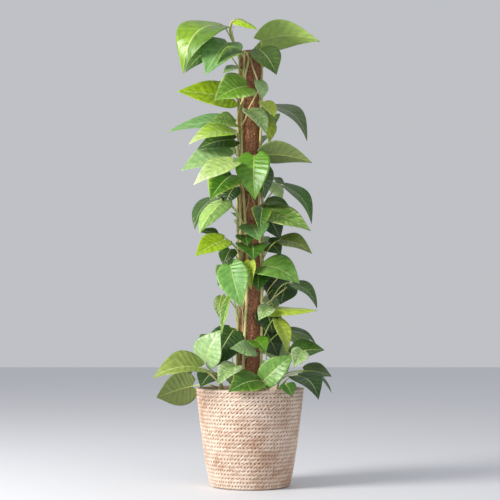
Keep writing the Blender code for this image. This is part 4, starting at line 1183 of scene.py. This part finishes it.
def keep_out_trees():
    """The plain shapes that leaves stay clear of: the pole, and the pots with the basket's wall."""
    pole = COIR_LIMIT * KEEP_OUT_FACTOR
    wall = [
        (float(basket_radius(height)) * KEEP_OUT_FACTOR, height)
        for height in np.linspace(0, BASKET_HEIGHT, 6)
    ]
    inside = [
        (float(inside_radius(BASKET_HEIGHT)), BASKET_HEIGHT),
        (float(inside_radius(LINER_TOP)) - LINER_INSET, LINER_TOP),
        (POT_INNER_RADIUS, POT_TOP),
        (POT_MID_RADIUS, POT_MID),
    ]
    core = STAKE_RADIUS
    return [
        ring_tree([(core, COIR_FOOT), (pole, COIR_FOOT), (pole, COIR_TOP), (core, COIR_TOP)]),
        ring_tree(wall + inside),
    ]


# %% Moves and joints
def moves():
    """Every small move that a leaf may make, the least visible first."""
    options = []
    for depth, joint, bow, rise in product(DEPTH_MOVES, JOINT_MOVES, BOW_MOVES, RISE_MOVES):
        cost = abs(depth) + 0.6 * abs(joint) + 0.8 * abs(bow) + 4 * abs(rise)
        options.append((cost, depth, joint, bow, rise))
    return sorted(options, key=lambda option: option[0])


def shifted(place, depth, rise):
    """A place moved along the view by a depth, and up by a rise."""
    return (place[0], place[1] + depth, place[2] + rise)


def joint_height(base, middle, top, shift):
    """Height at which a stalk leaves its stem: lower than the blade by most of its reach."""
    low = SOIL_TOP + JOINT_LOWEST
    high = top - JOINT_BELOW_TOP
    level = np.linalg.norm((base - middle(min(max(base[2], low), high)))[:2])
    height = min(max(base[2] - JOINT_DROP * level, low), high) + shift
    return min(max(height, low), high)


# %% A place for one leaf
def grow_leaf(row, stems, placed, solid_trees, options):
    """Place one leaf with its stalk, moved as little as keeps it clear of everything else."""
    _, stem, base, tip, width, facing, arch, fold, _ = row
    middle, top = stems[stem]
    stations = WIDE_STATIONS if width * MM > WIDE_BLADE else NARROW_STATIONS
    for _, depth, joint, bow, rise in options:
        leaf = (
            seen_at(shifted(base, depth, rise)), seen_at(shifted(tip, depth, rise)), width * MM,
            towards(*facing), arch * MM, math.radians(fold),
        )
        height = joint_height(leaf[0], middle, top, joint * MM)
        path = stalk_path(middle(height), leaf, bow * MM)
        shell = blade_shell(leaf, BLADE_THICKNESS + 2 * CLEARANCE, stations, BLADE_COLUMNS)
        blade_tree = tree_of(*shell)
        radii = np.linspace(STALK_RADIUS, STALK_TIP_RADIUS, len(path)) + CLEARANCE
        stalk_tree = tree_of(*tube(path, radii, STALK_SIDES))
        crossed = any(blade_tree.overlap(tree) or stalk_tree.overlap(tree) for tree in solid_trees)
        for kind, owner, tree in placed:
            if crossed:
                break
            crossed = bool(blade_tree.overlap(tree))
            if not crossed and (owner != stem or kind != "stem"):
                crossed = bool(stalk_tree.overlap(tree))
        if not crossed:
            placed.append(("stalk", stem, stalk_tree))
            placed.append(("blade", stem, blade_tree))
            return leaf, middle(height), bow * MM
    return None


def stem_shell(middle, top):
    """The stem's own solid, from its foot in the compost to its top."""
    foot = SOIL_TOP - STEM_DEPTH
    count = max(int((top - foot) / STEM_STEP), 3)
    heights = [foot, *np.linspace(SOIL_TOP + STEM_COLLAR, top, count + 1)]
    radii = [STEM_RADIUS] * (len(heights) - 2)
    radii += [0.5 * (STEM_RADIUS + STEM_TIP_RADIUS), STEM_TIP_RADIUS]
    return tube([middle(height) for height in heights], radii, STEM_SIDES)


# %% Growing the plant
def grow_plant():
    """Every leaf in its place: for each stem, its leaves with their roots, bows and colourings."""
    stems = stem_tables()
    solid_trees = keep_out_trees()
    options = moves()
    placed = [("stem", name, tree_of(*stem_shell(*stems[name]))) for name in stems]
    grown = {name: [] for name in stems}
    rows = list(LEAVES) + far_leaves()
    for row in sorted(rows, key=lambda entry: -entry[4]):
        result = grow_leaf(row, stems, placed, solid_trees, options)
        if result is None:
            print("no room for", row[0])
        else:
            grown[row[1]].append((*result, row[8]))
    return stems, grown


stems, grown = grow_plant()
print("leaves:", sum(len(leaves) for leaves in grown.values()))

# %% [markdown]
# ## Colouring of the leaves
#
# A golden pothos leaf is green, splashed with cream and lime along its side veins. Some
# leaves here are almost yellow, some pale, some dark. Each colouring is a main colour, a
# splash colour, how much of the blade the splashes cover, and where they gather. These are
# stored on the mesh, and the shader draws the fine streaks between them. Where the splash
# gathers on one half, it is painted shade over that half of the blade. The dark and deep
# greens are partly painted shade, for leaves that lie under others.

# %% Colourings
# main colour, splash colour, cover, where it gathers
COLOURINGS = {
    "fresh": ((84, 134, 34), (136, 172, 64), 0.16, "veins"),
    "green": ((58, 102, 34), (106, 146, 60), 0.12, "veins"),
    "light": ((102, 148, 72), (150, 184, 108), 0.2, "veins"),
    "lime": ((148, 172, 58), (184, 200, 96), 0.4, "veins"),
    "lime_tip": ((136, 172, 58), (216, 220, 180), 0.3, "tip"),
    "yellow": ((136, 170, 30), (172, 194, 62), 0.4, "veins"),
    "pale": ((140, 176, 128), (176, 200, 160), 0.3, "veins"),
    "pale_tip": ((158, 188, 122), (222, 226, 200), 0.35, "tip"),
    "blue": ((104, 150, 96), (140, 176, 128), 0.2, "veins"),
    "blue_edge": ((92, 142, 76), (168, 192, 92), 0.25, "edge"),
    "grey": ((82, 104, 70), (126, 146, 104), 0.12, "veins"),
    "olive": ((98, 118, 60), (130, 146, 80), 0.15, "veins"),
    "olive_light": ((122, 142, 76), (156, 172, 104), 0.2, "veins"),
    "crown": ((116, 148, 52), (148, 170, 82), 0.25, "veins"),
    # partly a darker green, partly painted shade for leaves in the shade of others
    "dark": ((54, 88, 34), (96, 130, 54), 0.12, "veins"),
    # partly a deeper green, partly painted shade for leaves far under others
    "deep": ((40, 70, 30), (70, 100, 46), 0.08, "veins"),
    "streaky": ((66, 96, 38), (164, 180, 104), 0.22, "veins"),
    "striped": ((104, 146, 78), (222, 226, 190), 0.5, "veins"),
    "cream": ((92, 138, 52), (224, 230, 158), 0.42, "veins"),
    "splashed": ((56, 96, 32), (176, 196, 74), 0.3, "edge"),
    "edged": ((104, 152, 44), (216, 224, 160), 0.3, "edge"),
    "eyed": ((58, 104, 28), (172, 206, 84), 0.5, "edge"),
    # painted shade: the darker splash covers one half of the blade
    "halved": ((110, 148, 36), (66, 102, 38), 0.5, "half"),
    # painted shade: the dark splash covers one half of the blade
    "shaded": ((150, 190, 110), (70, 100, 50), 0.5, "half"),
    "moss": ((90, 120, 20), (120, 150, 50), 0.2, "veins"),
}


def splash_cover(gathers, cover, along, across):
    """Share of a blade that splashes cover at each point, from where they gather."""
    edge = np.abs(across)
    if gathers == "edge":
        return cover * (0.25 + 1.9 * edge ** 2.2)
    if gathers == "tip":
        return cover * (0.3 + 2.6 * along ** 3)
    # one half of the blade in painted shade
    if gathers == "half":
        return np.where(across < 0, 0.95, 0.06) * np.ones_like(along)
    return cover * (0.75 + 0.5 * edge)


# %% [markdown]
# The finish is semi-gloss above and duller beneath. The streaks are noise stretched along the
# side veins, so the map's first number is constant along a vein and its second goes from edge
# to edge. A pale midrib and faint side veins finish it. Thin leaves let a little light
# through, which subsurface scattering gives.

# %% Leaf finish
VEIN_COUNT = 8
RIB_COLOUR = (196, 208, 140)
VEIN_COLOUR = (178, 196, 120)
UNDER_COLOUR = (150, 168, 108)

leaf_finish, tree, shader = new_finish("pothos leaf")
leaf_map = add_node(tree, "ShaderNodeUVMap", uv_map="blade").outputs[0]
parts = add_node(tree, "ShaderNodeSeparateXYZ", {0: leaf_map}).outputs
main_colour, splash_colour = stored(tree, "main")[0], stored(tree, "splash")[0]
cover, under = stored(tree, "cover")[1], stored(tree, "under")[1]
streak_noise = noise(tree, stretched(tree, leaf_map, (22, 1.3, 1)), 1.0, 4, 0.6)
fine_noise = noise(tree, stretched(tree, leaf_map, (70, 2.4, 1)), 1.0, 3, 0.6)
streaks = plus(tree, times(tree, streak_noise, 0.7), times(tree, fine_noise, 0.3))
limit = math_node(tree, "SUBTRACT", 0.70, times(tree, cover, 0.40))
splash_share = span(tree, math_node(tree, "SUBTRACT", streaks, limit), -0.10, 0.16, 0.0, 0.62)
leaf_colour = blend_colours(tree, splash_share, main_colour, splash_colour)
mottle = span(tree, noise(tree, stretched(tree, leaf_map, (9, 3, 1)), 1.0, 3), 0.3, 0.7, 0.78, 1.16)
mottle_colour = add_node(tree, "ShaderNodeCombineColor", {0: mottle, 1: mottle, 2: mottle})
leaf_colour = blend_colours(tree, 1.0, leaf_colour, mottle_colour.outputs[0], "MULTIPLY")

vein_wave = math_node(tree, "PINGPONG", times(tree, parts[0], VEIN_COUNT), 0.5)
rib_share = span(tree, math_node(tree, "ABSOLUTE", parts[1]), 0.012, 0.05, 0.55, 0.0)
vein_share = times(tree, span(tree, vein_wave, 0.0, 0.09, 1.0, 0.0), 0.12)
under_share = times(tree, under, 0.3)
for share, colour in (
    (rib_share, RIB_COLOUR), (vein_share, VEIN_COLOUR), (under_share, UNDER_COLOUR),
):
    leaf_colour = blend_colours(tree, share, leaf_colour, solid_colour(*colour))
connect(tree, shader, {
    "Base Color": leaf_colour, "Roughness": span(tree, under, 0.0, 1.0, 0.31, 0.55),
    "Specular IOR Level": 0.42, "Subsurface Weight": 0.22,
    "Subsurface Radius": (0.5, 1.0, 0.2), "Subsurface Scale": 0.002,
})
relief = plus(tree, times(tree, vein_wave, 1.2), times(tree, streak_noise, 0.8))
raise_bumps(tree, shader, relief, 0.0022, 0.45)

# %% [markdown]
# ## Blades
#
# Every blade is the same surface as its solid, with many more stations and columns. It
# swells gently between its side veins and its margin waves, each leaf in its own way.

# %% Relief of a blade
BLADE_STATIONS = np.linspace(0, 1, 27) ** 1.1
FINE_COLUMNS = np.linspace(-1, 1, 15)
FINE_THICKNESS = 0.6 * MM
QUILT = 0.25 * MM
LEAF_WARMTH = np.array((1.06, 1.0, 0.76))
MARGIN_WAVE = 1.3 * MM
VEIN_SWEEP = 0.34


def vein_coordinate(along, across):
    """A number that is constant along a side vein, which leans towards the tip."""
    return along - VEIN_SWEEP * np.abs(across) ** 0.9 * (1 - 0.5 * along)


def blade_relief(phase):
    """The small relief of one blade: quilting between veins and a waving margin."""
    def relief(along, across):
        swell = QUILT * np.cos(TAU * VEIN_COUNT * vein_coordinate(along, across))
        swell = swell * np.abs(across) * (1 - across ** 4)
        wave = MARGIN_WAVE * across ** 2 * np.sin(TAU * (1.6 * along + phase + 0.31 * np.sign(across)))
        return (swell + wave) * (1 - along ** 5)
    return relief


# %% Fine blades
def fine_blade(leaf, colouring, number):
    """A blade's vertices and triangles with what its finish needs at each vertex."""
    phase = (number * 0.377) % 1.0
    vertices, triangles = blade_shell(
        leaf, FINE_THICKNESS, BLADE_STATIONS, FINE_COLUMNS, blade_relief(phase)
    )
    along, across = np.meshgrid(BLADE_STATIONS[:-1], FINE_COLUMNS, indexing="ij")
    along = np.append(along.ravel(), 1.0)
    across = np.append(across.ravel(), 0.0)
    main, splash, cover, gathers = COLOURINGS[colouring]
    tint = 1 + 0.10 * math.sin(number * 2.4)
    count = len(along)
    painted = {
        "main": np.tile(screen_colour(*main) * LEAF_WARMTH * tint, (2 * count, 1)),
        "splash": np.tile(screen_colour(*splash), (2 * count, 1)),
        "cover": np.tile(splash_cover(gathers, cover, along, across), 2),
        "under": np.repeat((0.0, 1.0), count),
    }
    place = np.stack((vein_coordinate(along, across) + 3.7 * number, across), axis=1)
    return vertices, triangles, painted, np.vstack((place, place))


def add_blades(stem, leaves, first_number):
    """All the blades of one stem as one piece."""
    blades = [
        fine_blade(leaf, colouring, first_number + place)
        for place, (leaf, _, _, colouring) in enumerate(leaves)
    ]
    starts = np.cumsum([0] + [len(blade[0]) for blade in blades[:-1]])
    vertices = np.vstack([blade[0] for blade in blades])
    triangles = np.vstack([blade[1] + start for blade, start in zip(blades, starts)])
    piece = add_piece(stem + "_leaves", vertices, [triangles], leaf_finish)
    for layer in ("main", "splash", "cover", "under"):
        paint(piece, layer, np.concatenate([blade[2][layer] for blade in blades]))
    lay_out(piece, "blade", np.vstack([blade[3] for blade in blades]))
    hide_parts(stem)


number = 0
for stem, leaves in grown.items():
    add_blades(stem, leaves, number)
    number += len(leaves)
print("blades:", number)

# %% [markdown]
# ## Stems and stalks
#
# The stems are pale green to straw, ringed where leaves left them, and each leaf stalk has a
# thick knee where it meets the blade and runs on beneath it as the midrib. They are tubes
# along the same paths as their solids, with more points and sides.

# %% Stem finish
stem_finish, tree, shader = new_finish("pothos stem")
band = noise(tree, stretched(tree, own_place(tree), (1, 1, 0.25)), 45, 4, 0.6)
green_stem = two_tone(tree, band, 0.35, 0.65, (186, 196, 116), (142, 166, 78))
old_stem = two_tone(tree, band, 0.4, 0.6, (216, 204, 152), (172, 152, 96))
stem_colour = blend_colours(tree, stored(tree, "age")[1], green_stem, old_stem)
connect(tree, shader, {"Base Color": stem_colour, "Roughness": 0.5})
raise_bumps(tree, shader, band, 0.0006)

# %% Fine stems
STEM_RING_STEP = 4 * MM
STEM_FINE_SIDES = 10
NODE_STEP = 52 * MM
NODE_SHIFT = 17 * MM
NODE_SWELL = 0.16
NODE_WIDTH = 0.10
STALK_FINE_STEPS = 15
STALK_FINE_SIDES = 7
STALK_FOOT = 0.8 * MM
KNEE = 0.55 * MM
KNEE_AT = 0.97
SWELL_WIDTH = 0.05
RIB_POINTS = 9
RIB_FROM, RIB_TO = 0.02, 0.93
RIB_DEPTH = 0.35 * MM
RIB_RADII = (1.2, 0.25)
VINE_AGE = 0.65
SHOOT_AGE = 0.25


def fine_stem(middle, top, number):
    """A stem with a swollen ring at each node."""
    heights = np.append(np.arange(SOIL_TOP - STEM_DEPTH, top, STEM_RING_STEP), top)
    points = np.array([middle(height) for height in heights])
    taper = np.interp(heights, (top - 2 * STEM_STEP, top), (STEM_RADIUS, STEM_TIP_RADIUS))
    beat = np.abs(((heights + number * NODE_SHIFT) / NODE_STEP) % 1.0 - 0.5) * 2
    radii = taper * (0.9 + NODE_SWELL * np.exp(-((1 - beat) / NODE_WIDTH) ** 2))
    return tube(points, radii, STEM_FINE_SIDES)


def fine_stalk(leaf, root, bow):
    """A stalk from its stem to the blade, and on beneath the blade as its midrib."""
    path = stalk_path(root, leaf, bow, STALK_FINE_STEPS)[:-1]
    share = np.linspace(0, 1, len(path))
    radii = STALK_RADIUS + (STALK_TIP_RADIUS - STALK_RADIUS) * share
    radii += KNEE * np.exp(-((share - KNEE_AT) / SWELL_WIDTH) ** 2)
    radii += STALK_FOOT * np.exp(-(share / SWELL_WIDTH) ** 2)
    up = blade_frame(leaf[0], leaf[1], leaf[3])[3]
    along = np.linspace(RIB_FROM, RIB_TO, RIB_POINTS)
    rib = blade_surface(leaf, along, np.zeros(RIB_POINTS)) - up * RIB_DEPTH
    rib_radii = np.linspace(*RIB_RADII, RIB_POINTS) * MM
    return tube(np.vstack((path, rib)), np.append(radii, rib_radii), STALK_FINE_SIDES)


def join(shells):
    """Several tubes as one set of vertices, quads and caps by corner count."""
    vertices, quads, caps = [], [], {}
    start = 0
    for points, faces, ends in shells:
        vertices.append(points)
        quads.append(faces + start)
        caps.setdefault(ends.shape[1], []).append(ends + start)
        start += len(points)
    return np.vstack(vertices), [np.vstack(quads)] + [np.vstack(group) for group in caps.values()]


# %% Stems in the scene
for number, (stem, leaves) in enumerate(grown.items()):
    trunk = fine_stem(*stems[stem], number)
    shells = [trunk] + [fine_stalk(leaf, root, bow) for leaf, root, bow, _ in leaves]
    vertices, faces = join(shells)
    piece = add_piece(stem + "_stem", vertices, faces, stem_finish)
    age = np.zeros(len(vertices))
    age[:len(trunk[0])] = VINE_AGE if stem.startswith("vine") else SHOOT_AGE
    paint(piece, "age", age)
    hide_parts(stem)

# %% [markdown]
# ## Aerial roots
#
# A pothos holds its pole with short brown roots from each node. They creep over the coir, so
# each is a thin tube that starts in the stem and turns down and round the pole.

# %% Aerial roots
ROOT_POINTS = 9
ROOT_SIDES = 6
ROOT_STEP = NODE_STEP * 0.62
ROOT_LOWEST = 0.29
ROOT_BELOW_TOP = 0.03
ROOT_SWING = (0.35, 1.1)
ROOT_FALL = (6, 34)
ROOT_RADII = (1.15, 0.55)
ROOT_LIFT = 1.4 * MM
ROOT_SINK = 0.9 * MM

draw = np.random.default_rng(44)
share = np.linspace(0, 1, ROOT_POINTS)
near = COIR_RADIUS + ROOT_LIFT
paths, widths = [], []
for _, direction, turn, top in VINES:
    for height in np.arange(ROOT_LOWEST, top * MM - ROOT_BELOW_TOP, ROOT_STEP):
        start = vine_point(direction, turn, height)
        swing = draw.choice((-1, 1)) * draw.uniform(*ROOT_SWING)
        fall = draw.uniform(*ROOT_FALL) * MM
        away = np.interp(share, (0, 0.25, 1), (np.hypot(*start[:2]), near, near - ROOT_SINK))
        way = math.atan2(start[1], start[0]) + swing * share ** 0.8
        way += 0.05 * np.sin(9 * share + height * 50)
        paths.append(round_axis(away, way, height - fall * share ** 1.3))
        widths.append(np.linspace(*ROOT_RADII, ROOT_POINTS) * MM * draw.uniform(0.8, 1.25))

root_finish, tree, shader = new_finish("aerial root")
bark = noise(tree, own_place(tree), 180, 3)
root_colour = two_tone(tree, bark, 0.35, 0.65, (96, 62, 40), (186, 148, 104))
connect(tree, shader, {"Base Color": root_colour, "Roughness": 0.75})
raise_bumps(tree, shader, bark, 0.0005)
add_threads("aerial_roots", np.array(paths), np.array(widths), ROOT_SIDES, root_finish)
print("aerial roots:", len(paths))

# %% [markdown]
# ## Loose stalks and runners
#
# A few pale stalks cross the pole where leaves have been cut or have grown past it, and thin
# young runners wind up between the stems. The stalks are smooth curves through a few places
# read from the front. The runners are slow spirals just outside the coir.

# %% Loose stalks
STRAY_POINTS = 48
STRAY_SIDES = 8
STRAY_AGE = 0.8

# radius in millimetres, then places (x, y, z) along the stalk
STRAY_STALKS = (
    (2.4, (-30, -16, 1005), (-40, -11, 1033), (-47, -10, 1060), (-43, -9, 1078), (-34, -8, 1083)),
    (2.5, (-8, -31, 1006), (-3, -32, 989), (-11, -31, 953), (-13, -31, 904), (-23, -29, 880),
     (-29, -27, 848), (-27, -28, 817), (-25, -29, 776)),
    (2.0, (1, -32, 996), (7, -32, 969), (17, -29, 941), (19, -28, 916), (9, -33, 896),
     (-3, -34, 872), (-11, -34, 848), (-21, -31, 832)),
    (1.5, (-14, -56, 378), (-19, -66, 408), (-28, -67, 414), (-33, -62, 396), (-31, -55, 378)),
    (1.2, (67, -62, 480), (48, -56, 458), (28, -36, 426)),
    (1.2, (86, -52, 457), (60, -46, 436), (31, -30, 412)),
    (2.4, (-117, -92, 271), (-88, -84, 253), (-62, -72, 222), (-48, -62, 186)),
)


def smooth_path(places, count):
    """Points of one smooth curve through the places given.

    Between two places the curve is a cubic, whose slope at each is half the step between the
    places on either side of it.
    """
    knots = np.array([seen_at(place) for place in places])
    knots = np.vstack((2 * knots[0] - knots[1], knots, 2 * knots[-1] - knots[-2]))
    share = np.linspace(0, len(places) - 1, count)
    step = np.minimum(share.astype(int), len(places) - 2)
    part = (share - step)[:, None]
    before, start, stop, after = (knots[step + n] for n in range(4))
    bend = 2 * before - 5 * start + 4 * stop - after
    turn_back = 3 * start - before - 3 * stop + after
    return start + 0.5 * ((stop - before) * part + bend * part ** 2 + turn_back * part ** 3)


stray_paths = np.array([smooth_path(row[1:], STRAY_POINTS) for row in STRAY_STALKS])
stray_radii = np.array([[row[0]] * STRAY_POINTS for row in STRAY_STALKS]) * MM
strays = add_threads("loose_stalks", stray_paths, stray_radii, STRAY_SIDES, stem_finish)
paint(strays, "age", np.full(len(strays.data.vertices), STRAY_AGE))

# %% Runners
RUNNERS = 11
RUNNER_POINTS = 60
RUNNER_SIDES = 7
RUNNER_FROM = (0.22, 0.80)
RUNNER_CLIMB = (0.13, 0.24)
RUNNER_WIND = (0.5, 1.6)
RUNNER_RADIUS = (1.0, 1.8)
RUNNER_LOW = 1.0 * MM
RUNNER_LIFT = 2.2 * MM

draw = np.random.default_rng(52)
share = np.linspace(0, 1, RUNNER_POINTS)
start_turn = draw.uniform(0, TAU, (RUNNERS, 1))
start_height = draw.uniform(*RUNNER_FROM, (RUNNERS, 1))
climb = draw.uniform(*RUNNER_CLIMB, (RUNNERS, 1))
wind = draw.choice((-1, 1), (RUNNERS, 1)) * draw.uniform(*RUNNER_WIND, (RUNNERS, 1))
runner_turn = start_turn + wind * share + 0.12 * np.sin(11 * share + start_turn)
runner_height = np.minimum(start_height + climb * share, COIR_TOP - 8 * MM)
runner_away = COIR_RADIUS + RUNNER_LOW + RUNNER_LIFT * np.sin(math.pi * share) ** 0.5
runner_paths = round_axis(runner_away, runner_turn, runner_height)
runner_radii = draw.uniform(*RUNNER_RADIUS, (RUNNERS, 1)) * MM * (1 - 0.5 * share ** 3)
runners = add_threads("runners", runner_paths, runner_radii, RUNNER_SIDES, stem_finish)
paint(runners, "age", np.repeat(draw.uniform(0.2, 1.0, RUNNERS), RUNNER_POINTS * RUNNER_SIDES))
print("loose stalks:", len(STRAY_STALKS), "runners:", RUNNERS)
